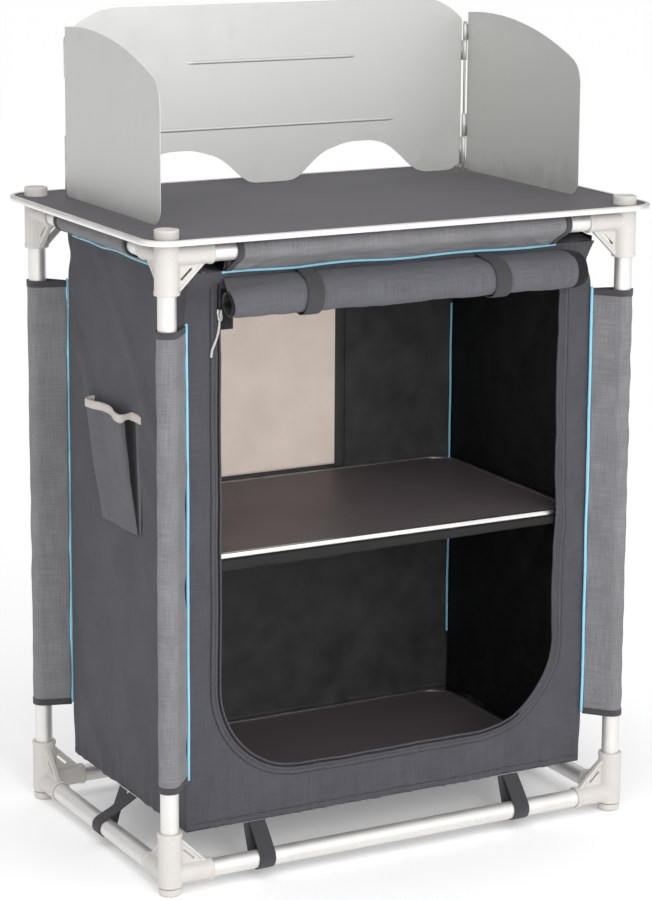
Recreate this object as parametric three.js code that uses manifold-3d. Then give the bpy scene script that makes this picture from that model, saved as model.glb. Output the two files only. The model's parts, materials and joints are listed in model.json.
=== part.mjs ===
// Folding camp kitchen: a tube frame with plastic corner connectors, an edge-trimmed worktop, a hinged
// three-leaf windshield and a fabric cabinet with two shelves and a rolled-up zip door.
// Millimetres. X runs left to right, Y front to back, Z up. The origin is on the ground, midway
// between the four legs.
import * as THREE from "three";
import { mergeVertices } from "three/addons/utils/BufferGeometryUtils.js";
import Module from "manifold-3d";

const wasm = await Module();
wasm.setup();

// ---------------------------------------------------------------- driving dimensions
const GAP = 0.3; // clearance between pieces that touch
const SIDES = 16; // facets round a tube

// Frame
const LEG_X = 331; // leg axes, left and right of the centre
const LEG_Y = 201; // leg axes, in front of and behind the centre
const TUBE_R = 11.75;
const TUBE_WALL = 1.2;
const BOTTOM_TUBE_Z = 25.2;
const TOP_TUBE_Z = 814.8;

// Corner connectors
const SLEEVE_R = 15.4;
const ARM_R = 13.3;
const COLLAR_LENGTH = 5;
const COLLAR_RISE = 0.8;
const TOP_ARM = 60; // leg axis to the arm's end
const BOTTOM_ARM = 57;
const SOCKET_START = 22; // leg axis to the bottom of an arm's socket
const TOP_SLEEVE_END = 766;
const CAP_TOP = 846.7; // the sleeve's closed top, standing through the worktop
const CAP_CHAMFER = 2.5;
const BOTTOM_SLEEVE_END = 82.3;
const WEB_THICK = 5;
const WEB_LEG = 42; // how far a web runs down the sleeve
const WEB_ARM = 49; // how far a web runs along the arm
const WEB_ROOT = [13, 11]; // the web's inner corner, from the crossing of the axes
const WEB_SLOT = [25.5, 21.5]; // middle of the slot in a web
const WEB_SLOT_HALF = 9;
const WEB_SLOT_R = 1.3;

// Feet
const FOOT_R = 14.35;
const FOOT_PAD = 10;
const FOOT_GAP = 1;
const STEM_R = 5;
const STEM_TOP = 34;

// Worktop and shelves: a board in an L-section edge trim
const WORKTOP_X = 367;
const WORKTOP_Y = 233;
const WORKTOP_CORNER = 38;
const WORKTOP_BASE = 829.6;
const BOARD_THICK = 5.8;
const TRIM_WALL = 1.2;
const TRIM_LIP = 6;
const TRIM_HEIGHT = 7.2;
const REBATE = 0.6; // depth of the board's rebate under the trim's lip
const SHELF_X = 286;
const SHELF_Y = 172;
const SHELF_CORNER = 38;
const MID_SHELF_BASE = 417.8;
const WIRE_HOLE_R = 2.2;

// Windshield, measured up from the worktop's rim
const HINGE_X = 302;
const HINGE_Y = 163;
const SHEET = 1;
const BARREL_R = 3.2;
const WIRE_R = 1.8;
const SHEET_EDGE = 4; // hinge axis to the edge of a leaf between the knuckles
const LEAF_LIFT = 1; // the leaves' lower edges stand this far above the rim
const PANEL_TOP = 244;
const PANEL_CORNER_R = 99;
const WING_LENGTH = 292;
const WING_CROWN_U = 60; // where a wing's top edge is highest, from the hinge
const WING_CROWN_Z = 225;
const WING_CROWN_R = 536;
const WING_TOP_CORNER_R = 36;
const WING_LOW_CORNER_R = 20;
const WING_KNUCKLES = [[48, 80], [183, 206]];
const PANEL_KNUCKLES = [[9, 47.4], [155, 182.4]];
const PANEL_CORNER_IN = 72.5; // leaf's edge to the centre of its top corner
const BEADS = [[255, 167.5], [380, 78.4]]; // [length, height] of the pressed beads
const BEAD_DEPTH = 1.6;
const BEAD_HALF = 3;
const WIRE_PLUG = 6; // how far a wire goes in below the rim
const WIRE_TOP = 209;
const WIRE_PLAY = 0.4;
const WIRE_HEAD_R = 2.7;
const WIRE_HEAD = 2;

// Cabinet, outer faces of the fabric
const CLOTH = 1.2;
const ROOF_CLOTH = 1.5; // the roof is one cloth with the back wall
const CABINET_X = 297;
const CABINET_Y = 177;
const CABINET_BASE = 67;
const FRONT_TOP = 786;
const SIDE_TOP = 792;
const DOOR_X = 247; // half the opening
const DOOR_BASE = 135;
const DOOR_TOP = 770;
const DOOR_CORNER = 115;
const SUPPORT_BAND = 13; // the hammock's hanging front edge
const WINDOW_X = 108; // half the light panel in the back wall
const WINDOW_BASE = 430;
const WINDOW_TOP = 745;

// Fabric tunnels round the legs and the top tubes
const TUNNEL_R = 12.2;
const TUNNEL_CLOTH = 1.1;
const TUNNEL_TAIL_R = 0.6;
const LEG_TUNNEL_LOW = 136;
const LEG_TUNNEL_HIGH = 722.5;
const TUNNEL_FROM_ARM = 30; // a top tunnel starts this far from the connector's arm

// Rolled door and its straps
const ROLL_Y = -203.7;
const ROLL_Z = 752;
const ROLL_R = 23.7; // middle of the outermost layer
const ROLL_CLOTH = 1.6;
const ROLL_PITCH = 3.2;
const ROLL_TURNS = 4;
const ROLL_LEFT = -253;
const ROLL_RIGHT = 263;
const ROLL_TAIL = [-179.6, 776.8]; // where the outermost layer meets the front wall's top: [y, z]
const WEBBING = 23;
const ROLL_STRAPS = [-140, 128];
const ROLL_STRAP_R = 25.2; // inside the strap, round the roll
const TIE_STRAPS = [-200, 182]; // the two ties along the front
const TIE_DROP = 0.6; // from the cabinet's floor to a tie
const ROLL_STRAP_SEAM = [-179.5, 781.5, 1]; // centre and radius of the loop's tail

// Cutlery pocket on the left wall
const POCKET_CLOTH = 1.4;
const POCKET_BASE = 425;
const POCKET_FRONT = -50;
const POCKET_BACK = 76;
const POCKET_MOUTH_FRONT = -54;
const POCKET_MOUTH_BACK = 114;
const POCKET_FRONT_TOP = 592;
const POCKET_BACK_TOP = 577;
const POCKET_DEEP = 16; // how far the mouth stands off the wall
const POCKET_THIN = 4.5; // the same at the bottom

// ---------------------------------------------------------------- colours
const material = (color, roughness, metalness) =>
  new THREE.MeshStandardMaterial({ color, roughness, metalness });
const PLASTIC = material(0xd8d4ce, 0.55, 0);
const TUBE = material(0xb9b9b8, 0.35, 1);
const TRIM = material(0xe2e0dc, 0.3, 1);
const BOARD = material(0x666367, 0.6, 0);
const SHELF_BOARD = material(0x3f393a, 0.6, 0);
const SHEET_METAL = material(0xc4c4c2, 0.35, 1);
const WIRE = material(0x8f8f8f, 0.35, 1);
const FABRIC = material(0x58585d, 0.95, 0);
const SLEEVE_FABRIC = material(0x828286, 0.95, 0);
const WEB = material(0x3f3d3c, 0.9, 0);
const WINDOW = material(0xb8afa9, 0.9, 0);
const RUBBER = material(0xb9b4ae, 0.7, 0);
const PULL = material(0xa4a4a6, 0.6, 0);

const model = new THREE.Group();

function add(name, geometry, look, parent = model) {
  const mesh = new THREE.Mesh(geometry, look);
  mesh.name = name;
  parent.add(mesh);
  return mesh;
}

// ---------------------------------------------------------------- solids
function solid(geometry) {
  const bare = geometry.clone();
  bare.deleteAttribute("normal");
  bare.deleteAttribute("uv");
  const merged = mergeVertices(bare, 1e-4);
  return new wasm.Manifold(
    new wasm.Mesh({
      numProp: 3,
      vertProperties: merged.attributes.position.array,
      triVerts: new Uint32Array(merged.index.array),
    }),
  );
}

function geometryOf(manifold) {
  const { vertProperties, triVerts } = manifold.getMesh();
  const geometry = new THREE.BufferGeometry();
  geometry.setAttribute("position", new THREE.BufferAttribute(vertProperties, 3));
  geometry.setIndex(new THREE.BufferAttribute(triVerts, 1));
  geometry.computeVertexNormals();
  return geometry;
}

const join = (first, ...rest) => rest.reduce((whole, piece) => whole.add(piece), first);
const cut = (first, ...rest) => rest.reduce((whole, piece) => whole.subtract(piece), first);

// A shape drawn in X and Y, made solid from low to high along Z.
function prism(shape, low, high, curveSegments = 8) {
  const geometry = new THREE.ExtrudeGeometry(shape, {
    depth: high - low,
    bevelEnabled: false,
    curveSegments,
  });
  return geometry.translate(0, 0, low);
}

// The same, drawn as X and Z, and made solid along Y.
const prismY = (shape, low, high, segments) =>
  prism(shape, -high, -low, segments).rotateX(Math.PI / 2);

// The same, drawn as Y and Z, and made solid along X.
const prismX = (shape, low, high, segments) =>
  prism(shape, low, high, segments).rotateX(Math.PI / 2).rotateZ(Math.PI / 2);

function rod(radius, low, high, sides = SIDES) {
  return new THREE.CylinderGeometry(radius, radius, high - low, sides)
    .rotateX(Math.PI / 2)
    .translate(0, 0, (low + high) / 2);
}

const rodX = (radius, low, high, sides) => rod(radius, low, high, sides).rotateY(Math.PI / 2);
const rodY = (radius, low, high, sides) => rod(radius, low, high, sides).rotateX(-Math.PI / 2);

function pipe(radius, wall, low, high) {
  const shape = new THREE.Shape().absarc(0, 0, radius, 0, 2 * Math.PI);
  shape.holes.push(new THREE.Path().absarc(0, 0, radius - wall, 0, 2 * Math.PI, true));
  return prism(shape, low, high, SIDES / 2);
}

function turned(profile, sides = SIDES) {
  return new THREE.LatheGeometry(profile.map(([r, z]) => new THREE.Vector2(r, z)), sides)
    .rotateX(Math.PI / 2);
}

function box(x0, x1, y0, y1, z0, z1) {
  return new THREE.BoxGeometry(x1 - x0, y1 - y0, z1 - z0)
    .translate((x0 + x1) / 2, (y0 + y1) / 2, (z0 + z1) / 2);
}

function polygon(points) {
  return new THREE.Shape(points.map(([a, b]) => new THREE.Vector2(a, b)));
}

// ---------------------------------------------------------------- frame
const CORNERS = [
  { name: "front_left", x: -LEG_X, y: -LEG_Y, turn: 0 },
  { name: "front_right", x: LEG_X, y: -LEG_Y, turn: 1 },
  { name: "back_right", x: LEG_X, y: LEG_Y, turn: 2 },
  { name: "back_left", x: -LEG_X, y: LEG_Y, turn: 3 },
];
const BORE_R = TUBE_R + GAP;
const LEG_SOCKET = 17.5; // tube axis to the end of the leg's socket

// One arm along +X with its collar and web; the web lies on the side that `side` points to.
function arm(length, side) {
  const crown = box(0, length, -SLEEVE_R, SLEEVE_R, -SLEEVE_R, ARM_R + GAP);
  const plain = solid(rodX(ARM_R, 0, length));
  const collar = solid(rodX(ARM_R + COLLAR_RISE, length - COLLAR_LENGTH, length));
  const [rootAlong, rootDown] = WEB_ROOT;
  const triangle = polygon([
    [rootAlong, side * rootDown], [WEB_ARM, side * rootDown], [rootAlong, side * WEB_LEG],
  ]);
  const web = orient(prismY(triangle, -WEB_THICK / 2, WEB_THICK / 2));
  const slope = Math.atan2(WEB_LEG - rootDown, WEB_ARM - rootAlong);
  const slot = new THREE.Shape()
    .absarc(WEB_SLOT_HALF - WEB_SLOT_R, 0, WEB_SLOT_R, -Math.PI / 2, Math.PI / 2)
    .absarc(WEB_SLOT_R - WEB_SLOT_HALF, 0, WEB_SLOT_R, Math.PI / 2, 1.5 * Math.PI);
  const slotCut = prismY(slot, -WEB_THICK, WEB_THICK, 4)
    .rotateY(side * slope)
    .translate(WEB_SLOT[0], 0, side * WEB_SLOT[1]);
  return cut(join(join(plain, collar).intersect(solid(crown)), web), solid(slotCut));
}

// A prism turned from a clockwise outline is inside out, so its faces are turned back.
function orient(geometry) {
  const made = solid(geometry);
  if (made.volume() > 0) return made;
  const flipped = geometry.index ? geometry.toNonIndexed() : geometry.clone();
  const place = flipped.attributes.position;
  for (let i = 0; i < place.count; i += 3) {
    const [a, b] = [i + 1, i + 2].map((k) => new THREE.Vector3().fromBufferAttribute(place, k));
    place.setXYZ(i + 1, b.x, b.y, b.z);
    place.setXYZ(i + 2, a.x, a.y, a.z);
  }
  return solid(flipped);
}

// Sleeve and arms about the crossing of the tube axes. `side` is -1 where the leg is below.
function connector(sleeve, armLength, side, legSocket, stemBore) {
  const along = arm(armLength, side);
  const across = along.rotate([0, 0, 90]).mirror([1, 0, 0]);
  const bores = [
    rodX(BORE_R, SOCKET_START, armLength + 1),
    rodY(BORE_R, SOCKET_START, armLength + 1),
    rod(BORE_R, ...legSocket),
  ];
  if (stemBore) bores.push(rod(STEM_R + GAP, ...stemBore));
  return geometryOf(cut(join(solid(turned(sleeve)), along, across), ...bores.map(solid)));
}

function topConnector() {
  const low = TOP_SLEEVE_END - TOP_TUBE_Z;
  const high = CAP_TOP - TOP_TUBE_Z;
  const sleeve = [
    [0, low],
    [SLEEVE_R + COLLAR_RISE, low],
    [SLEEVE_R + COLLAR_RISE, low + COLLAR_LENGTH],
    [SLEEVE_R, low + COLLAR_LENGTH],
    [SLEEVE_R, high - CAP_CHAMFER],
    [SLEEVE_R - CAP_CHAMFER, high],
    [0, high],
  ];
  return connector(sleeve, TOP_ARM, -1, [low - 1, -LEG_SOCKET]);
}

function bottomConnector() {
  const low = FOOT_PAD + FOOT_GAP - BOTTOM_TUBE_Z;
  const high = BOTTOM_SLEEVE_END - BOTTOM_TUBE_Z;
  const sleeve = [
    [0, low],
    [SLEEVE_R, low],
    [SLEEVE_R, high - COLLAR_LENGTH],
    [SLEEVE_R + COLLAR_RISE, high - COLLAR_LENGTH],
    [SLEEVE_R + COLLAR_RISE, high],
    [0, high],
  ];
  return connector(sleeve, BOTTOM_ARM, 1, [LEG_SOCKET, high + 1], [low - 1, STEM_TOP + 2 - BOTTOM_TUBE_Z]);
}

const foot = () =>
  turned([[0, 0], [FOOT_R - 2, 0], [FOOT_R, 2], [FOOT_R, FOOT_PAD], [STEM_R, FOOT_PAD], [STEM_R, STEM_TOP],
    [0, STEM_TOP]]);

function buildFrame() {
  const legLow = BOTTOM_TUBE_Z + LEG_SOCKET + GAP;
  const legHigh = TOP_TUBE_Z - LEG_SOCKET - GAP;
  for (const { name, x, y, turn } of CORNERS) {
    const corner = new THREE.Group();
    corner.position.set(x, y, 0);
    corner.rotation.z = (turn * Math.PI) / 2;
    model.add(corner);
    add(`leg_${name}`, pipe(TUBE_R, TUBE_WALL, legLow, legHigh), TUBE, corner);
    add(`top_connector_${name}`, topConnector(), PLASTIC, corner).position.z = TOP_TUBE_Z;
    add(`bottom_connector_${name}`, bottomConnector(), PLASTIC, corner).position.z = BOTTOM_TUBE_Z;
    add(`foot_${name}`, foot(), RUBBER, corner);
  }
  const reach = SOCKET_START + GAP;
  for (const [level, z] of [["top", TOP_TUBE_Z], ["bottom", BOTTOM_TUBE_Z]]) {
    for (const [side, sign] of [["front", -1], ["back", 1]]) {
      const tube = pipe(TUBE_R, TUBE_WALL, reach - LEG_X, LEG_X - reach).rotateY(Math.PI / 2);
      add(`${level}_tube_${side}`, tube, TUBE).position.set(0, sign * LEG_Y, z);
    }
    for (const [side, sign] of [["left", -1], ["right", 1]]) {
      const tube = pipe(TUBE_R, TUBE_WALL, reach - LEG_Y, LEG_Y - reach).rotateX(Math.PI / 2);
      add(`${level}_tube_${side}`, tube, TUBE).position.set(sign * LEG_X, 0, z);
    }
  }
}

// ---------------------------------------------------------------- boards and trims
function roundedOutline(halfX, halfY, corner, steps = 5) {
  const points = [];
  for (let quarter = 0; quarter < 4; quarter++) {
    const sx = quarter === 0 || quarter === 3 ? 1 : -1;
    const sy = quarter < 2 ? 1 : -1;
    for (let i = 0; i <= steps; i++) {
      const angle = ((quarter + i / steps) * Math.PI) / 2;
      points.push([
        sx * (halfX - corner) + corner * Math.cos(angle),
        sy * (halfY - corner) + corner * Math.sin(angle),
      ]);
    }
  }
  return points;
}

// An L section carried round the board: [inset from the outer edge, height].
const TRIM_SECTION = [
  [0.6, 0],
  [TRIM_WALL, 0],
  [TRIM_WALL, BOARD_THICK - REBATE + GAP],
  [TRIM_LIP, BOARD_THICK - REBATE + GAP],
  [TRIM_LIP, TRIM_HEIGHT],
  [0.8, TRIM_HEIGHT],
  [0, TRIM_HEIGHT - 0.8],
  [0, 0.6],
];

function trim(halfX, halfY, corner) {
  const rings = TRIM_SECTION.map(([inset, z]) =>
    roundedOutline(halfX - inset, halfY - inset, corner - inset).map(([x, y]) => [x, y, z]));
  const count = rings[0].length;
  const triangles = [];
  for (let r = 0; r < rings.length; r++) {
    const here = rings[r];
    const next = rings[(r + 1) % rings.length];
    for (let i = 0; i < count; i++) {
      const j = (i + 1) % count;
      triangles.push(here[i], next[j], here[j], here[i], next[i], next[j]);
    }
  }
  const geometry = new THREE.BufferGeometry();
  geometry.setAttribute("position", new THREE.Float32BufferAttribute(triangles.flat(), 3));
  geometry.computeVertexNormals();
  return geometry;
}

function board(halfX, halfY, corner, holes = []) {
  const slab = (inset, top) =>
    solid(prism(polygon(roundedOutline(halfX - inset, halfY - inset, corner - inset)), 0, top));
  const whole = join(slab(TRIM_WALL + GAP, BOARD_THICK - REBATE), slab(TRIM_LIP + GAP, BOARD_THICK));
  const bores = holes.map(([x, y, r]) => solid(rod(r, -1, BOARD_THICK + 1).translate(x, y, 0)));
  return geometryOf(cut(whole, ...bores));
}

function buildBoards() {
  const legHoles = CORNERS.map(({ x, y }) => [x, y, SLEEVE_R + 0.5]);
  const wireHoles = [-1, 1].map((side) => [side * HINGE_X, HINGE_Y, WIRE_HOLE_R]);
  const top = board(WORKTOP_X, WORKTOP_Y, WORKTOP_CORNER, [...legHoles, ...wireHoles]);
  add("worktop_board", top, BOARD).position.z = WORKTOP_BASE;
  add("worktop_trim", trim(WORKTOP_X, WORKTOP_Y, WORKTOP_CORNER), TRIM).position.z = WORKTOP_BASE;
  const levels = [["mid", MID_SHELF_BASE], ["bottom", CABINET_BASE + CLOTH + GAP]];
  for (const [level, z] of levels) {
    add(`${level}_shelf_board`, board(SHELF_X, SHELF_Y, SHELF_CORNER), SHELF_BOARD).position.z = z;
    add(`${level}_shelf_trim`, trim(SHELF_X, SHELF_Y, SHELF_CORNER), TRIM).position.z = z;
  }
}

// ---------------------------------------------------------------- windshield
// Half of the back leaf's lower edge, from the centre out: [x, height]. Two feet and one arch.
const ARCH = [
  [23, 1], [34, 3], [46, 10], [65, 27], [80, 37.5], [96, 43.5], [118, 49], [140, 50],
  [162, 48.5], [182, 41], [200, 27], [214, 14], [227, 5], [240, 1.4], [247, 1],
];

function panelOutline() {
  const edge = HINGE_X - SHEET_EDGE;
  const centreX = edge - PANEL_CORNER_IN;
  const start = Math.acos((edge - centreX) / PANEL_CORNER_R);
  const half = [
    ...new THREE.SplineCurve(ARCH.map(([x, z]) => new THREE.Vector2(x, z))).getPoints(18)
      .map(({ x, y }) => [x, y]),
    [280, LEAF_LIFT],
    [288, 4],
    [edge, 10],
  ];
  for (let i = 0; i <= 6; i++) {
    const angle = start + (i / 6) * (Math.PI / 2 - start);
    half.push([
      centreX + PANEL_CORNER_R * Math.cos(angle),
      PANEL_TOP - PANEL_CORNER_R + PANEL_CORNER_R * Math.sin(angle),
    ]);
  }
  return [...half, ...half.toReversed().map(([x, z]) => [-x, z])];
}

function wingOutline() {
  const crownZ = WING_CROWN_Z - WING_CROWN_R;
  const cornerU = WING_LENGTH - WING_TOP_CORNER_R;
  const rise = Math.sqrt((WING_CROWN_R - WING_TOP_CORNER_R) ** 2 - (cornerU - WING_CROWN_U) ** 2);
  const meet = Math.atan2(rise, cornerU - WING_CROWN_U);
  const end = Math.acos((SHEET_EDGE - WING_CROWN_U) / WING_CROWN_R);
  const lowU = WING_LENGTH - WING_LOW_CORNER_R;
  const lowZ = LEAF_LIFT + WING_LOW_CORNER_R;
  return new THREE.Shape()
    .moveTo(SHEET_EDGE, 6)
    .lineTo(SHEET_EDGE + 5, LEAF_LIFT)
    .absarc(lowU, lowZ, WING_LOW_CORNER_R, -Math.PI / 2, 0)
    .absarc(cornerU, crownZ + rise, WING_TOP_CORNER_R, 0, meet)
    .absarc(WING_CROWN_U, crownZ, WING_CROWN_R, meet, end);
}

const barrels = (knuckles) => knuckles.map(([low, high]) => solid(rod(BARREL_R, low, high, 16)));
const bore = () => solid(rod(WIRE_R + WIRE_PLAY, -5, PANEL_TOP, 12));

// A leaf's knuckles about the hinge axis, for a sheet lying in X towards -X behind the axis.
function knuckled(sheet, knuckles) {
  const tabs = knuckles.map(([low, high]) =>
    solid(box(-SHEET_EDGE - 1, 0, BARREL_R - SHEET, BARREL_R, low, high)));
  return cut(join(sheet, ...tabs, ...barrels(knuckles)), bore());
}

function backPanel() {
  const flat = orient(prismY(polygon(panelOutline()), BARREL_R - SHEET, BARREL_R));
  let whole = flat;
  const section = polygon([
    [-0.1, -BEAD_HALF], [-BEAD_DEPTH, -BEAD_HALF / 3], [-BEAD_DEPTH, BEAD_HALF / 3], [-0.1, BEAD_HALF],
    [SHEET / 2, BEAD_HALF], [SHEET / 2, -BEAD_HALF],
  ]);
  for (const [length, z] of BEADS) {
    const bead = orient(prismX(section, -length / 2, length / 2));
    whole = whole.add(bead.translate([0, BARREL_R - SHEET, z]));
  }
  for (const side of [-1, 1]) {
    const tabs = PANEL_KNUCKLES.map(([low, high]) => {
      const inner = side * (HINGE_X - SHEET_EDGE - 1);
      const [x0, x1] = [inner, side * HINGE_X].sort((a, b) => a - b);
      return solid(box(x0, x1, BARREL_R - SHEET, BARREL_R, low, high));
    });
    const shift = [side * HINGE_X, 0, 0];
    whole = join(whole, ...tabs, ...barrels(PANEL_KNUCKLES).map((b) => b.translate(shift)));
    whole = cut(whole, bore().translate(shift));
  }
  return geometryOf(whole);
}

// A wing about its own hinge axis, reaching forward; `side` is -1 for the left one.
function wing(side) {
  const sheet = orient(prismY(wingOutline(), -BARREL_R, SHEET - BARREL_R, 5));
  const lying = knuckled(sheet.mirror([1, 0, 0]).mirror([0, 1, 0]), WING_KNUCKLES);
  const open = lying.rotate([0, 0, 90]);
  return geometryOf(side < 0 ? open : open.mirror([1, 0, 0]));
}

function buildWindshield() {
  const windshield = new THREE.Group();
  windshield.position.set(0, HINGE_Y, WORKTOP_BASE + TRIM_HEIGHT);
  model.add(windshield);
  add("windshield_back", backPanel(), SHEET_METAL, windshield);
  for (const [name, side] of [["left", -1], ["right", 1]]) {
    add(`windshield_${name}`, wing(side), SHEET_METAL, windshield).position.x = side * HINGE_X;
    const neck = WIRE_TOP - WIRE_HEAD;
    const wire = turned([
      [0, -WIRE_PLUG], [WIRE_R, -WIRE_PLUG], [WIRE_R, neck], [WIRE_HEAD_R, neck], [WIRE_HEAD_R, WIRE_TOP],
      [0, WIRE_TOP],
    ], 10);
    add(`hinge_wire_${name}`, wire, WIRE, windshield).position.x = side * HINGE_X;
  }
}

// ---------------------------------------------------------------- cabinet
function buildCabinet() {
  const front = polygon([
    [-CABINET_X, CABINET_BASE], [CABINET_X, CABINET_BASE], [CABINET_X, FRONT_TOP], [-CABINET_X, FRONT_TOP],
  ]);
  const opening = new THREE.Path()
    .moveTo(-DOOR_X, DOOR_TOP)
    .lineTo(-DOOR_X, DOOR_BASE + DOOR_CORNER)
    .absarc(DOOR_CORNER - DOOR_X, DOOR_BASE + DOOR_CORNER, DOOR_CORNER, Math.PI, 1.5 * Math.PI)
    .absarc(DOOR_X - DOOR_CORNER, DOOR_BASE + DOOR_CORNER, DOOR_CORNER, 1.5 * Math.PI, 2 * Math.PI)
    .lineTo(DOOR_X, DOOR_TOP);
  front.holes.push(opening);
  add("cabinet_front", prismY(front, -CABINET_Y, CLOTH - CABINET_Y, 10), FABRIC);
  const deep = CABINET_Y - CLOTH - GAP;
  const wide = CABINET_X - CLOTH - GAP;
  const back = box(-CABINET_X, CABINET_X, CABINET_Y - CLOTH, CABINET_Y, CABINET_BASE, FRONT_TOP);
  const roof = box(-wide, wide, -deep, CABINET_Y, FRONT_TOP - ROOF_CLOTH, FRONT_TOP);
  add("cabinet_back", geometryOf(join(solid(back), solid(roof))), FABRIC);
  for (const [name, side] of [["left", -1], ["right", 1]]) {
    const [x0, x1] = [side * (CABINET_X - CLOTH), side * CABINET_X].sort((a, b) => a - b);
    add(`cabinet_${name}`, box(x0, x1, -deep, deep, CABINET_BASE, SIDE_TOP), FABRIC);
  }
  add("cabinet_floor", box(-wide, wide, -deep, deep, CABINET_BASE, CABINET_BASE + CLOTH), FABRIC);
  const high = MID_SHELF_BASE - GAP;
  const low = high - SUPPORT_BAND;
  const support = polygon([
    [-deep, high], [-deep, low], [CLOTH - deep, low], [CLOTH - deep, high - CLOTH],
    [deep, high - CLOTH], [deep, high],
  ]);
  add("shelf_support", geometryOf(orient(prismX(support, -wide, wide))), FABRIC);
  const pane = box(-WINDOW_X, WINDOW_X, deep - CLOTH - 0.2, deep - 0.2, WINDOW_BASE, WINDOW_TOP);
  add("back_window", pane, WINDOW);
}

// The hull of two circles: [centre a, centre b, radius] each.
function hullOutline([ax, ay, ar], [bx, by, br], steps = 7) {
  const heading = Math.atan2(by - ay, bx - ax);
  const lean = Math.acos((ar - br) / Math.hypot(bx - ax, by - ay));
  const points = [];
  for (let i = 0; i <= 2 * steps; i++) {
    const angle = heading + lean + (i / (2 * steps)) * (2 * Math.PI - 2 * lean);
    points.push([ax + ar * Math.cos(angle), ay + ar * Math.sin(angle)]);
  }
  for (let i = 0; i <= 2; i++) {
    const angle = heading - lean + (i / 2) * 2 * lean;
    points.push([bx + br * Math.cos(angle), by + br * Math.sin(angle)]);
  }
  return points;
}

// A loop of cloth round a tube, drawn in to a seam at the tail.
function loop([ax, ay, ar], [bx, by, br], cloth) {
  const shape = polygon(hullOutline([ax, ay, ar + cloth], [bx, by, br + cloth]));
  const inner = hullOutline([ax, ay, ar], [bx, by, br]).toReversed();
  shape.holes.push(new THREE.Path(inner.map(([a, b]) => new THREE.Vector2(a, b))));
  return shape;
}

function buildTunnels() {
  const tail = TUNNEL_TAIL_R + TUNNEL_CLOTH + GAP;
  const toCorner = Math.hypot(LEG_X - CABINET_X, LEG_Y - CABINET_Y);
  for (const { name, x, y } of CORNERS) {
    const tailX = Math.sign(x) * (CABINET_X + (tail * (LEG_X - CABINET_X)) / toCorner);
    const tailY = Math.sign(y) * (CABINET_Y + (tail * (LEG_Y - CABINET_Y)) / toCorner);
    const shape = loop([x, y, TUNNEL_R], [tailX, tailY, TUNNEL_TAIL_R], TUNNEL_CLOTH);
    add(`leg_sleeve_${name}`, prism(shape, LEG_TUNNEL_LOW, LEG_TUNNEL_HIGH), SLEEVE_FABRIC);
  }
  const reachX = LEG_X - TOP_ARM - TUNNEL_FROM_ARM;
  const reachY = LEG_Y - TOP_ARM - TUNNEL_FROM_ARM;
  for (const [name, side] of [["front", -1], ["back", 1]]) {
    const tailEnd = [side * (CABINET_Y - CLOTH / 2), FRONT_TOP + tail, TUNNEL_TAIL_R];
    const shape = loop([side * LEG_Y, TOP_TUBE_Z, TUNNEL_R], tailEnd, TUNNEL_CLOTH);
    add(`top_sleeve_${name}`, geometryOf(orient(prismX(shape, -reachX, reachX))), SLEEVE_FABRIC);
  }
  for (const [name, side] of [["left", -1], ["right", 1]]) {
    const tailEnd = [side * (CABINET_X - CLOTH / 2), SIDE_TOP + tail, TUNNEL_TAIL_R];
    const shape = loop([side * LEG_X, TOP_TUBE_Z, TUNNEL_R], tailEnd, TUNNEL_CLOTH);
    add(`top_sleeve_${name}`, geometryOf(orient(prismY(shape, -reachY, reachY))), SLEEVE_FABRIC);
  }
}

// Webbing loops that tie the cabinet's lower edge down to the bottom tubes.
function buildTies() {
  const tailZ = CABINET_BASE - TUNNEL_TAIL_R - TUNNEL_CLOTH - TIE_DROP;
  for (const [name, x] of [["front_left", TIE_STRAPS[0]], ["front_right", TIE_STRAPS[1]]]) {
    const shape = loop([-LEG_Y, BOTTOM_TUBE_Z, TUNNEL_R], [-CABINET_Y, tailZ, TUNNEL_TAIL_R], TUNNEL_CLOTH);
    const tie = orient(prismX(shape, x - WEBBING / 2, x + WEBBING / 2));
    add(`tie_strap_${name}`, geometryOf(tie), WEB);
  }
  for (const [name, side] of [["left", -1], ["right", 1]]) {
    const seam = [side * CABINET_X, tailZ, TUNNEL_TAIL_R];
    const shape = loop([side * LEG_X, BOTTOM_TUBE_Z, TUNNEL_R], seam, TUNNEL_CLOTH);
    const tie = orient(prismY(shape, -WEBBING / 2, WEBBING / 2));
    add(`tie_strap_${name}`, geometryOf(tie), WEB);
  }
}

// ---------------------------------------------------------------- rolled door
// The spiral of the rolled cloth in [y, z]: it ends on top of the roll and runs back to the wall.
function rollOutline() {
  const sides = [[], []];
  const steps = 15 * ROLL_TURNS;
  const faces = [ROLL_CLOTH / 2, -ROLL_CLOTH / 2];
  for (let i = 0; i <= steps; i++) {
    const turnsLeft = ROLL_TURNS * (1 - i / steps);
    const radius = ROLL_R - ROLL_PITCH * turnsLeft;
    const angle = Math.PI / 2 - turnsLeft * 2 * Math.PI;
    faces.forEach((face, k) => {
      const r = radius + face;
      sides[k].push([ROLL_Y - r * Math.cos(angle), ROLL_Z + r * Math.sin(angle)]);
    });
  }
  faces.forEach((face, k) => sides[k].push([ROLL_TAIL[0], ROLL_TAIL[1] + face]));
  return polygon([...sides[0], ...sides[1].toReversed()]);
}

function buildDoor() {
  add("door_roll", geometryOf(orient(prismX(rollOutline(), ROLL_LEFT, ROLL_RIGHT))), FABRIC);
  const shape = loop([ROLL_Y, ROLL_Z, ROLL_STRAP_R], ROLL_STRAP_SEAM, TUNNEL_CLOTH);
  ROLL_STRAPS.forEach((x, k) => {
    const strap = orient(prismX(shape, x - WEBBING / 2, x + WEBBING / 2));
    add(`roll_strap_${k ? "right" : "left"}`, geometryOf(strap), WEB);
  });
}

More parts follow.
